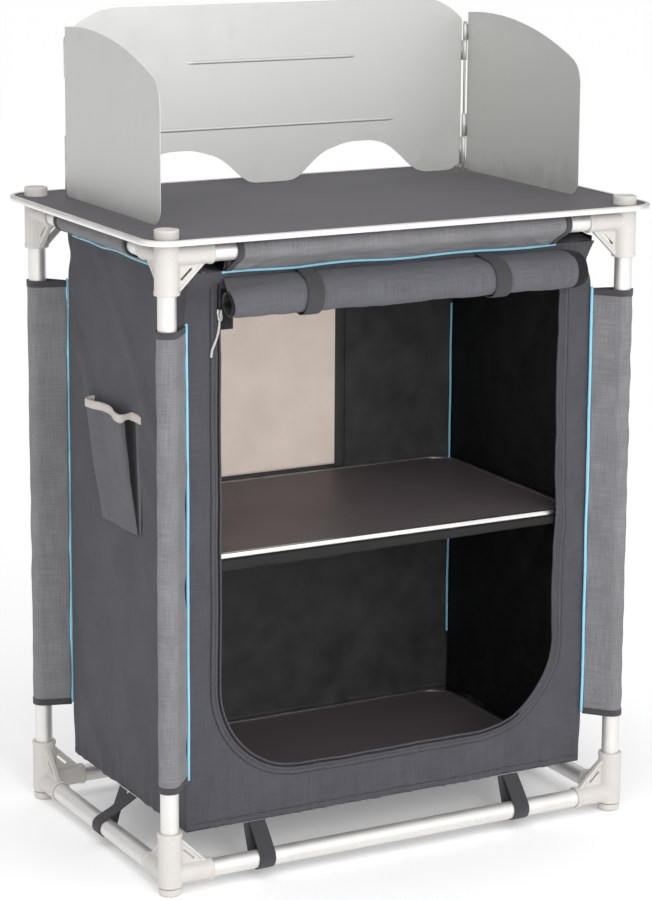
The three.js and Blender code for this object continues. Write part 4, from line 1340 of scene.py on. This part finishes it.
def top_sleeve(side, axis, sign, tails, seed):
    """A sleeve under a top rail; tails are where its lower edge starts and ends."""
    node = f"top_sleeve_{side}"
    low, high = box(node)[0][axis], box(node)[1][axis]
    wall_at = (CABINET_Y if axis == 0 else CABINET_X) + TAIL_OUT
    rail = LEG_Y if axis == 0 else LEG_X
    edge_z = FRONT_TOP if axis == 0 else SIDE_TOP - 2
    section = teardrop((sign * rail, TOP_TUBE_Z), (sign * (wall_at + 1.5), edge_z + 1.5))

    def relief(run, s):
        length = run.max()
        from_tail = np.minimum(run, length - run)
        hanging = np.exp(-((from_tail / 26) ** 2))
        wave = 1.5 * bumps(run * 1.6, s, 38, seed) + 0.8 * bumps(run * 2, s, 16, seed + 1)
        ridges = 0
        for end, way in ((low, 1), (high, -1)):
            along = way * (s - end)
            for start, slant, tall in ((14, 1.5, 3.0), (44, 2.2, 1.8)):
                ridge = along - start - slant * from_tail
                ridges = ridges + tall * np.exp(-((ridge / 6) ** 2)) * np.exp(-along / 90)
        return np.clip(from_tail / 8, 0, 1) * hanging * (wave + ridges) + 0.3

    def skew(run, total, s, start, end):
        toward = 1 - np.clip(np.minimum(run, total - run) / 36, 0, 1)
        share = (s - start) / (end - start)
        return toward * ((1 - share) * (tails[0] - start) + share * (tails[1] - end))

    droop = lambda s: 1.5 * bumps(s, s * 0, 46, seed + 2)

    def to_space(cross, s):
        away, up = cross[..., 0], cross[..., 1]
        near_tail = np.clip((TOP_TUBE_Z - 6 - up) / 24, 0, 1)
        up = up + near_tail * droop(s)
        return np.stack([s, away, up], -1) if axis == 0 else np.stack([away, s, up], -1)

    tunnel(f"sleeve_top_{side}", node, section, low, high, to_space, relief, skew, steps=150)
    s = np.linspace(tails[0] - 2, tails[1] + 2, 140)
    up = edge_z - (0.6 if axis == 0 else 1.8) + droop(s)
    away = np.full_like(s, sign * (wall_at + (2.6 if axis == 0 else 3.6)))
    line = np.stack([s, away, up], -1) if axis == 0 else np.stack([away, s, up], -1)
    piping(f"piping_top_{side}", line, 1.7)


def make_roof():
    """The cabinet's cloth top, hung from the four seams and slack in the middle."""
    a, b = np.meshgrid(np.linspace(-1, 1, 110), np.linspace(-1, 1, 80))
    x = a * (CABINET_X + TAIL_OUT * (1 - b**8))
    y = b * (CABINET_Y + TAIL_OUT * (1 - a**8))
    side_rise = (SIDE_TOP - FRONT_TOP - 1) * np.clip((np.abs(a) - 0.8) / 0.2, 0, 1) ** 2 * np.clip(1.15 - np.abs(b), 0, 1)
    sag = (1 - a**2) * (1 - b**2) * 7
    z = FRONT_TOP - 0.9 + side_rise - sag + 1.4 * bumps(x, y, 45, 21) * np.clip((1 - np.maximum(np.abs(a), np.abs(b))) * 9, 0, 1) + 0.4
    puff = np.exp(-(((np.abs(a) - 0.93) / 0.07) ** 2) - (((np.abs(b) - 0.86) / 0.12) ** 2)) * 7
    z = z + puff
    points = np.stack([x, y, z], -1)
    made = make("cloth_roof", points, lattice(80, 110), "cabinet_fabric", flat=np.stack([x, y], -1), backing="lining")
    thicken(made, CLOTH, -1, backing=True)


def make_walls():
    low, high = box("back_window")
    hole = (high.x - 1, low.z + 1, high.z - 1)
    wall("cloth_left", "cabinet_left", CABINET_Y - 0.1, 1, -1, SIDE_TOP, 101)
    wall("cloth_right", "cabinet_right", CABINET_Y - 0.1, 1, 1, SIDE_TOP, 111)
    wall("cloth_back", "cabinet_back", CABINET_X - 0.1, 0, 1, FRONT_TOP, 121, "lining", hole)
    make_front()
    make_roof()
    low, high = box("cabinet_floor")
    a, b = np.meshgrid(np.linspace(low.x, high.x, 90), np.linspace(low.y, high.y, 60))
    z = high.z - 0.1 + 0.12 * bumps(a, b, 50, 31)
    flat = np.stack([a, b], -1)
    made = make("cloth_floor", np.stack([a, b, z], -1), lattice(60, 90), "lining", stands_for=["cabinet_floor"],
                flat=flat, backing="cabinet_fabric")
    thicken(made, CLOTH, -1, backing=True)
    seam_z = CABINET_BASE + HEM
    x = np.linspace(-CABINET_X + 6, CABINET_X - 6, 240)
    front = front_place(x, np.full_like(x, seam_z)) + np.array([0, -0.1, 0])
    stitches("hem_stitching", [front], (0, -1, 0))


def make_window():
    """The pale back window, its bound frame, and the wide shiny seam band beside it."""
    low, high = box("back_window")
    a, h = np.meshgrid(np.linspace(low.x, high.x, 60), np.linspace(low.z, high.z, 90))
    edge = np.clip(np.minimum(high.x - np.abs(a), np.minimum(h - low.z, high.z - h)) / 25, 0, 1)
    y = (low.y + high.y) / 2 - 0.8 * edge * bumps(a, h, 50, 51)
    made = make("net_window", np.stack([a, y, h], -1), lattice(90, 60), "window", stands_for=["back_window"],
                flat=np.stack([a, h], -1))
    thicken(made, 0.6, 0)
    wide = [7, 7, 16, 7]  # bottom, top, right, left
    x0, x1, z0, z1 = low.x - 1, high.x + wide[2] - 4, low.z - 8, high.z + 3
    strips = [
        ((x0, z0), (x1, z0 + wide[0])), ((x0, z1 - wide[1]), (x1, z1)),
        ((x1 - wide[2], z0), (x1, z1)), ((x0, z0), (x0 + wide[3], z1)),
    ]
    shells = []
    for (left, bottom), (right, top) in strips:
        a, h = np.meshgrid(np.linspace(left, right, 9), np.linspace(bottom, top, 60))
        across = a if right - left < top - bottom else h
        centre = (right + left) / 2 if right - left < top - bottom else (top + bottom) / 2
        swell = 0.7 * np.cos(np.clip((across - centre) / 8, -1, 1) * math.pi / 2)
        shells.append((np.stack([a, low.y - 0.9 - swell, h], -1), lattice(60, 9), np.stack([a, h], -1)))
    frame_tape = many("window_binding", shells, "lining")
    thicken(frame_tape, 0.6, 0)


def make_support():
    """The cloth that carries the middle shelf, with its drooping front lip."""
    low, high = box("shelf_support")
    x = np.linspace(low.x, high.x, 110)
    depth = 9 + 6 * (high.x - x) / (high.x - low.x) + 0.8 * bumps(x, x * 0, 40, 61)
    rows = []
    for share in np.linspace(0, 1, 7):
        y = np.full_like(x, low.y + 0.7) - 0.5 * math.sin(share * math.pi)
        rows.append(np.stack([x, y, high.z - 0.5 - depth * (1 - share)], -1))
    for y in np.linspace(low.y + 3, high.y, 50):
        rows.append(np.stack([x, np.full_like(x, y), high.z - 0.55 + 0 * x], -1))
    points = np.array(rows)
    run = np.concatenate([[0], np.cumsum(np.linalg.norm(np.diff(points[:, 0], axis=0), axis=1))])
    flat = np.stack(np.broadcast_arrays(x, run[:, None]), -1)
    # The support takes the darker lining copy: painted shade under the middle shelf.
    made = make("cloth_support", points, lattice(len(rows), len(x)), "shaded_lining", stands_for=["shelf_support"], flat=flat)
    thicken(made, 0.9, 0)


# ---------------------------------------------------------------- rolled door and webbing
ROLL_TURNS = 4
ROLL_PITCH = 3.2


def make_roll():
    """The door, rolled from its lower edge and hung from the header."""
    low, high = box("door_roll")
    strap_low, strap_high = box("roll_strap_left")
    outer = (high.y - low.y) / 2 - 1.6
    centre_y = low.y + outer + 0.8
    centre_z = low.z + outer + 0.8
    turned = np.linspace(0, ROLL_TURNS, 60 * ROLL_TURNS + 1)
    angle = math.pi / 2 + (turned - ROLL_TURNS) * 2 * math.pi
    radius = outer - ROLL_PITCH * (ROLL_TURNS - turned)
    out = np.stack([-np.cos(angle), np.sin(angle)], -1)
    spiral = np.array([centre_y, centre_z]) + radius[:, None] * out
    lift = np.linspace(0, 1, 12)[1:, None]
    tail_end = np.array([-(CABINET_Y + 1.8), FRONT_TOP - 9])
    bow = np.sin(lift * math.pi) * np.array([[0.0, 0.8]])
    tail = spiral[-1] + lift * (tail_end - spiral[-1]) + bow
    line = np.concatenate([spiral, tail])
    layer = np.concatenate([turned, np.full(len(tail), ROLL_TURNS)])
    left, right = low.x, high.x
    x = np.concatenate([np.linspace(left, left + 18, 10)[:-1], np.linspace(left + 18, right - 24, 140)[:-1],
                        np.linspace(right - 24, right, 41)])
    straps = [middle("roll_strap_left").x, middle("roll_strap_right").x]
    X, L = np.meshgrid(x, layer, indexing="ij")
    out = np.concatenate([out, np.zeros((len(tail), 2))])
    turn = np.concatenate([angle, np.full(len(tail), angle[-1])])
    T = np.broadcast_to(turn, X.shape)
    pinch = sum(np.exp(-(((X - s) / 26) ** 2)) for s in straps)
    soft = 0.9 * bumps(X, 20 * np.cos(T), 48, 71) + 0.6 * bumps(X + 9 * np.sin(T), 22 * np.sin(T), 17, 72)
    sag = -0.7 * pinch + soft * (1 - 0.8 * np.clip(pinch, 0, 1))
    sag = np.clip(sag, -1.4, 1.1)
    sag = sag - 2.6 * np.exp(-(X - left) / 14) - 3.2 * np.exp(-(right - X) / 7)
    sag = sag + 1.1 * folds(X, 24 * np.sin(T), 77, 30) * (np.abs(X - straps[0]) > 24) * (X < straps[0] + 60)
    sag = sag + 1.0 * np.sin((right - X) * 2 * math.pi / 4.6) * np.clip((X - right + 18) / 2, 0, 1)
    cross = line[None] + out[None] * sag[..., None]
    cross[..., 0] -= 2.2 * np.exp(-(X - left) / 16)
    slump = np.clip((straps[0] - 14 - X) / (straps[0] - 14 - left), 0, 1) ** 1.3
    hung = np.concatenate([np.zeros(len(spiral)), np.linspace(0, 1, len(tail))])
    foot_z = centre_z - outer
    cross[..., 1] -= 0.15 * slump * (1 - hung) * np.clip(cross[..., 1] - foot_z, 0, None)
    stagger = 2.2 * np.sin(L * 5.1) + 1.2 * np.sin(L * 2.3 + 1)
    end_share = np.clip(np.abs(X - (left + right) / 2) / ((right - left) / 2), 0, 1) ** 12
    X2 = X + np.sign(X) * end_share * (stagger - 2.2)
    X2 = X2 - np.sign(X2) * np.clip(np.abs(X2) - DOOR_X + 2, 0, 20) * hung
    points = np.stack([X2, cross[..., 0], cross[..., 1]], -1)
    run = np.concatenate([[0], np.cumsum(np.linalg.norm(np.diff(line, axis=0), axis=1))])
    flat = np.stack(np.broadcast_arrays(X, run), -1)
    faces = lattice(len(x), len(line))
    mid_x, mid_layer = (x[:-1] + x[1:]) / 2, (layer[:-1] + layer[1:]) / 2
    # The inner layers at the left end take the near-black zip-tape look as painted shade inside the roll's open end;
    # the last 17 mm at the right end take that look too.
    inner = (mid_x[:, None] < left + 16) & (mid_layer[None] < ROLL_TURNS - 0.97)
    marks = (inner | (mid_x[:, None] > right - 17)).astype(int).ravel()
    made = make("rolled_door", points, faces, "roll_fabric", stands_for=["door_roll"], flat=flat, backing="zip_tape", marks=marks)
    weld_normals(made)
    thicken(made, 1.5, 0)
    return centre_y, centre_z, outer


def strap(name, path, x, width, thickness, shift, body="frame", stands_for=(), closed=False):
    """Webbing across X along a path of [y, z]; shift slides it along X as it runs."""
    path = evenly([[0, y, z] for y, z in path], 2.2)
    run, heading, path = along_path(path)
    out = np.cross(heading, [1.0, 0, 0])
    across = np.linspace(-0.5, 0.5, 9)
    crown = 0.25 * np.cos(across * math.pi)
    slide = np.array([shift(r / run[-1]) for r in run])
    points = np.stack(
        np.broadcast_arrays(
            x + slide[:, None] + across * width,
            path[:, 1, None] + out[:, 1, None] * crown,
            path[:, 2, None] + out[:, 2, None] * crown,
        ),
        -1,
    )
    flat = np.stack(np.broadcast_arrays(across * width, run[:, None]), -1)
    made = make(name, points, lattice(len(run), 9), "webbing", body, stands_for, flat)
    weld_normals(made)
    thicken(made, thickness, 0)
    rounded(made, 0.25, 1, 50)
    return made


def hull_path(a, b, steps=30):
    """Round circle a and in to circle b: [y, z, radius] each, from b round a and back to b."""
    (ay, az, ar), (by, bz, br) = a, b
    heading = math.atan2(bz - az, by - ay)
    lean = math.acos((ar - br) / math.hypot(by - ay, bz - az))
    big = arc(ay, az, ar, heading + lean, heading + 2 * math.pi - lean, steps)
    small = arc(by, bz, br, heading - lean, heading + lean, 5)
    return np.concatenate([small[2:], big, small[:3]])


def make_straps(roll):
    centre_y, centre_z, outer = roll
    seam = (-(CABINET_Y + 2.5), 781.5, 1.2)
    shifts = {
        "left": lambda s: 7.0 - 8.0 * math.sin(s * math.pi),
        "right": lambda s: -3.0 + 7.0 * math.sin(s * math.pi),
    }
    for side in ("left", "right"):
        node = f"roll_strap_{side}"
        low, high = box(node)
        path = hull_path((centre_y, centre_z, outer + 1.9), seam)
        strap(f"webbing_roll_{side}", path, middle(node).x, high.x - low.x, 1.2, shifts[side], stands_for=[node])
    tail_z = CABINET_BASE - 1.6
    for side in ("front_left", "front_right"):
        node = f"tie_strap_{side}"
        low, high = box(node)
        path = hull_path((-LEG_Y, BOTTOM_TUBE_Z, TUBE_R + 1.1), (-CABINET_Y, tail_z, 0.9))
        lean = lambda s: 3.5 * math.cos(s * math.pi)
        strap(f"tie_loop_{side}", path, middle(node).x, high.x - low.x, 1.2, lean, stands_for=[node])
    for side, sign in (("left", -1), ("right", 1)):
        node = f"tie_strap_{side}"
        low, high = box(node)
        width = high.y - low.y
        path = hull_path((sign * LEG_X, BOTTOM_TUBE_Z, TUBE_R + 1.1), (sign * CABINET_X, tail_z, 0.9))
        path = np.asarray(path)
        path = evenly([[0, a, b] for a, b in path], 2.2)
        run, heading, path = along_path(path)
        out = np.cross(heading, [1.0, 0, 0])
        across = np.linspace(-0.5, 0.5, 9)
        slide = 26 * np.abs(run / run[-1] - 0.5) * 2 * np.sign(run / run[-1] - 0.5)
        slide = np.where(np.abs(run / run[-1] - 0.5) < 0.22, slide * 0.25, slide * 0.62)
        slide = np.convolve(np.pad(slide, 4, mode="edge"), np.ones(9) / 9, "valid")
        points = np.stack(
            np.broadcast_arrays(path[:, 1, None], slide[:, None] + across * width, path[:, 2, None] + 0 * across), -1
        )
        flat = np.stack(np.broadcast_arrays(across * width, run[:, None]), -1)
        made = make(f"tie_loop_{side}", points, lattice(len(run), 9), "webbing", stands_for=[node], flat=flat)
        weld_normals(made)
        thicken(made, 1.2, 0)
        rounded(made, 0.25, 1, 50)


# ---------------------------------------------------------------- zip slider and pull cord
CORD_R = 1.5
CORD_ROUTE = [
    [-250.2, -180.0, 725.3],
    [-250.8, -180.2, 717.5],
    [-252.8, -180.4, 707.5],
    [-256.6, -180.6, 697.5],
    [-260.4, -180.6, 689.0],
    [-261.8, -180.4, 680.5],
]


def make_pull():
    route = smooth_path(CORD_ROUTE, 1.5)
    length = along_path(route)[0][-1]
    points, faces, flat = cord_shell(route, CORD_R, 14)
    made = make("braided_pull", points, faces, "pull_cord", stands_for=["zip_pull_cord"], flat=flat)


def make_slider():
    """The slider: a waisted body with rolled sides, a bridge over it and a bail below."""
    low, high = box("zip_slider")
    centre = middle("zip_slider")
    heights = np.linspace(low.z, high.z, 16)
    share = (heights - low.z) / (high.z - low.z)
    half = 2.7 + 1.5 * share**0.8 - 0.9 * np.clip(share - 0.75, 0, 1) * 4
    turns = np.linspace(0, 2 * math.pi, 28, endpoint=False)
    depth = 3.6
    y = high.y - depth / 2 - 0.3
    rings = [
        np.stack(
            [
                centre.x + w * np.sign(np.cos(turns)) * np.abs(np.cos(turns)) ** 0.5,
                y + depth / 2 * np.sign(np.sin(turns)) * np.abs(np.sin(turns)) ** 0.5,
                np.full_like(turns, z),
            ],
            -1,
        )
        for w, z in zip(half, heights)
    ]
    faces = lattice(len(rings), 28, wrap=True).tolist()
    faces.append(list(range(27, -1, -1)))
    faces.append([(len(rings) - 1) * 28 + k for k in range(28)])
    body = (np.array(rings), faces, np.array(rings)[..., [0, 2]])
    top = low.y + 0.6
    bridge = smooth_path(
        [[centre.x, y - 1, 738.6], [centre.x, top, 736.8], [centre.x, top, 730], [centre.x, y - 1, 727]], 0.7
    )
    bail = smooth_path(
        [
            [centre.x - 2.2, top + 0.3, 732.5], [centre.x - 2.6, top + 0.5, 728], [centre.x - 1.4, top + 1.2, 724.6],
            [centre.x + 1.4, top + 1.2, 724.6], [centre.x + 2.6, top + 0.5, 728], [centre.x + 2.2, top + 0.3, 732.5],
            [centre.x, top - 0.1, 733.4], [centre.x - 2.2, top + 0.3, 732.5],
        ],
        0.6,
    )
    made = many(
        "slider_body", [body, cord_shell(bridge, 0.8, 8), cord_shell(bail, 0.65, 8)], "slider",
        stands_for=["zip_slider"],
    )
    crease(made, 50)


# ---------------------------------------------------------------- side pocket
def make_pocket():
    """The cutlery pocket: two pleated mouths bound in pale tape, sewn flat along the bottom."""
    low, high = box("side_pocket")
    wall_x = -CABINET_X
    mouth = [
        [84, 0.6, 584.5], [86, 4, 584], [89, 9, 583], [91, 13, 582], [89, 15.2, 581.6], [84, 15.6, 581.6],
        [66, 13, 581.8], [50, 9, 582], [36, 8.5, 582.4], [26, 9.5, 582.6], [12, 12, 582.2], [-4, 15, 581], [-16, 15.5, 580],
        [-21.5, 12, 580.5], [-24, 6, 582], [-28, 2.2, 584], [-40, 1.8, 584], [-54, 0.8, 583],
    ]
    foot = [
        [69, 0.6, 425], [67, 2, 425], [62, 3.2, 425], [52, 3.8, 425], [40, 3.2, 425], [30, 2.8, 425],
        [20, 2.8, 425], [4, 3.4, 425], [-16, 3.6, 425], [-34, 2.8, 425], [-44, 1.6, 425], [-50, 0.6, 425],
    ]
    pleat_shade = (-22, -37)  # the fold beside the mouth, along the top edge, whose faces are painted black as its shade
    top_line = smooth_path(mouth, 2.0)
    share = np.linspace(0, 1, len(top_line))
    run, _, foot_line = along_path(smooth_path(foot, 1.0))
    foot_share = np.interp(share, [0, 0.09, 0.74, 1], [0, 0.03, 0.93, 1])
    foot_line = np.stack([np.interp(foot_share * run[-1], run, foot_line[:, k]) for k in range(3)], -1)
    rows = np.linspace(0, 1, 60)[:, None, None]
    spots = foot_line + rows * (top_line - foot_line)
    belly = np.sin(rows[..., 0] * math.pi) * 1.6
    y, off, z = spots[..., 0], spots[..., 1], spots[..., 2]
    off = off + belly * np.clip(off / 6, 0, 1) + 0.5 * bumps(y, z, 20, 81) * np.clip(off / 6, 0, 1)
    off = np.clip(off, 0.5, 15.6)
    points = np.stack([wall_x - off, y, z], -1)
    flat = np.stack([y, z], -1)
    at_top = top_line[:, 0]
    way = (at_top - pleat_shade[0]) / (pleat_shade[1] - pleat_shade[0])
    # The faces in a band down from the fold take the near-black zip-tape look: painted shade.
    marks = np.tile((way[:-1] >= 0) & (way[:-1] <= 1), 59).astype(int)
    body = make("pocket_cloth", points, lattice(60, len(top_line)), "roll_fabric", stands_for=["side_pocket"],
                flat=flat, backing="zip_tape", marks=marks)
    weld_normals(body)
    thicken(body, 0.9, 0)
    edge = points[-1]
    tape_rows = []
    out = np.cross(np.gradient(edge, axis=0), [0, 0, 1.0])
    out /= np.linalg.norm(out, axis=1)[:, None]
    for down, lift in ((10.5, 0.8), (9.5, 1.1), (1, 1.1), (-0.6, 0.0), (1, -1.1), (9.5, -1.1), (10.5, -0.8)):
        row = edge.copy()
        row[:, 2] = edge[:, 2] - down
        tape_rows.append(row + out * lift)
    tape_points = np.array(tape_rows)
    along = along_path(edge)[0]
    flat = np.stack(np.broadcast_arrays(np.arange(7)[:, None] * 3.3, along), -1)
    tape = make("pocket_binding", tape_points, lattice(7, len(edge)), "pale_binding", flat=flat)
    weld_normals(tape)
    thicken(tape, 0.5, 0)


# ---------------------------------------------------------------- floor
def make_floor():
    work = bmesh.new()
    bmesh.ops.create_circle(work, cap_ends=True, segments=64, radius=90)
    mesh = bpy.data.meshes.new("floor")
    work.to_mesh(mesh)
    work.free()
    floor = bpy.data.objects.new("floor", mesh)
    look = Look("pale_floor", "FAFAFA", 0.9, specular=0.1)
    look.shader.inputs["Emission Color"].default_value = (1, 1, 1, 1)
    look.shader.inputs["Emission Strength"].default_value = 0.16
    mesh.materials.append(look.material)
    SCENE.collection.objects.link(floor)


make_camera()
make_light()
SCENE.view_settings.view_transform = "Standard"
LOOKS.update(make_looks())
make_pull()
make_floor()
make_frame()
make_boards()
make_windshield()
make_walls()
make_zip()
make_sleeves()
make_window()
make_support()
make_straps(make_roll())
make_slider()
make_pocket()
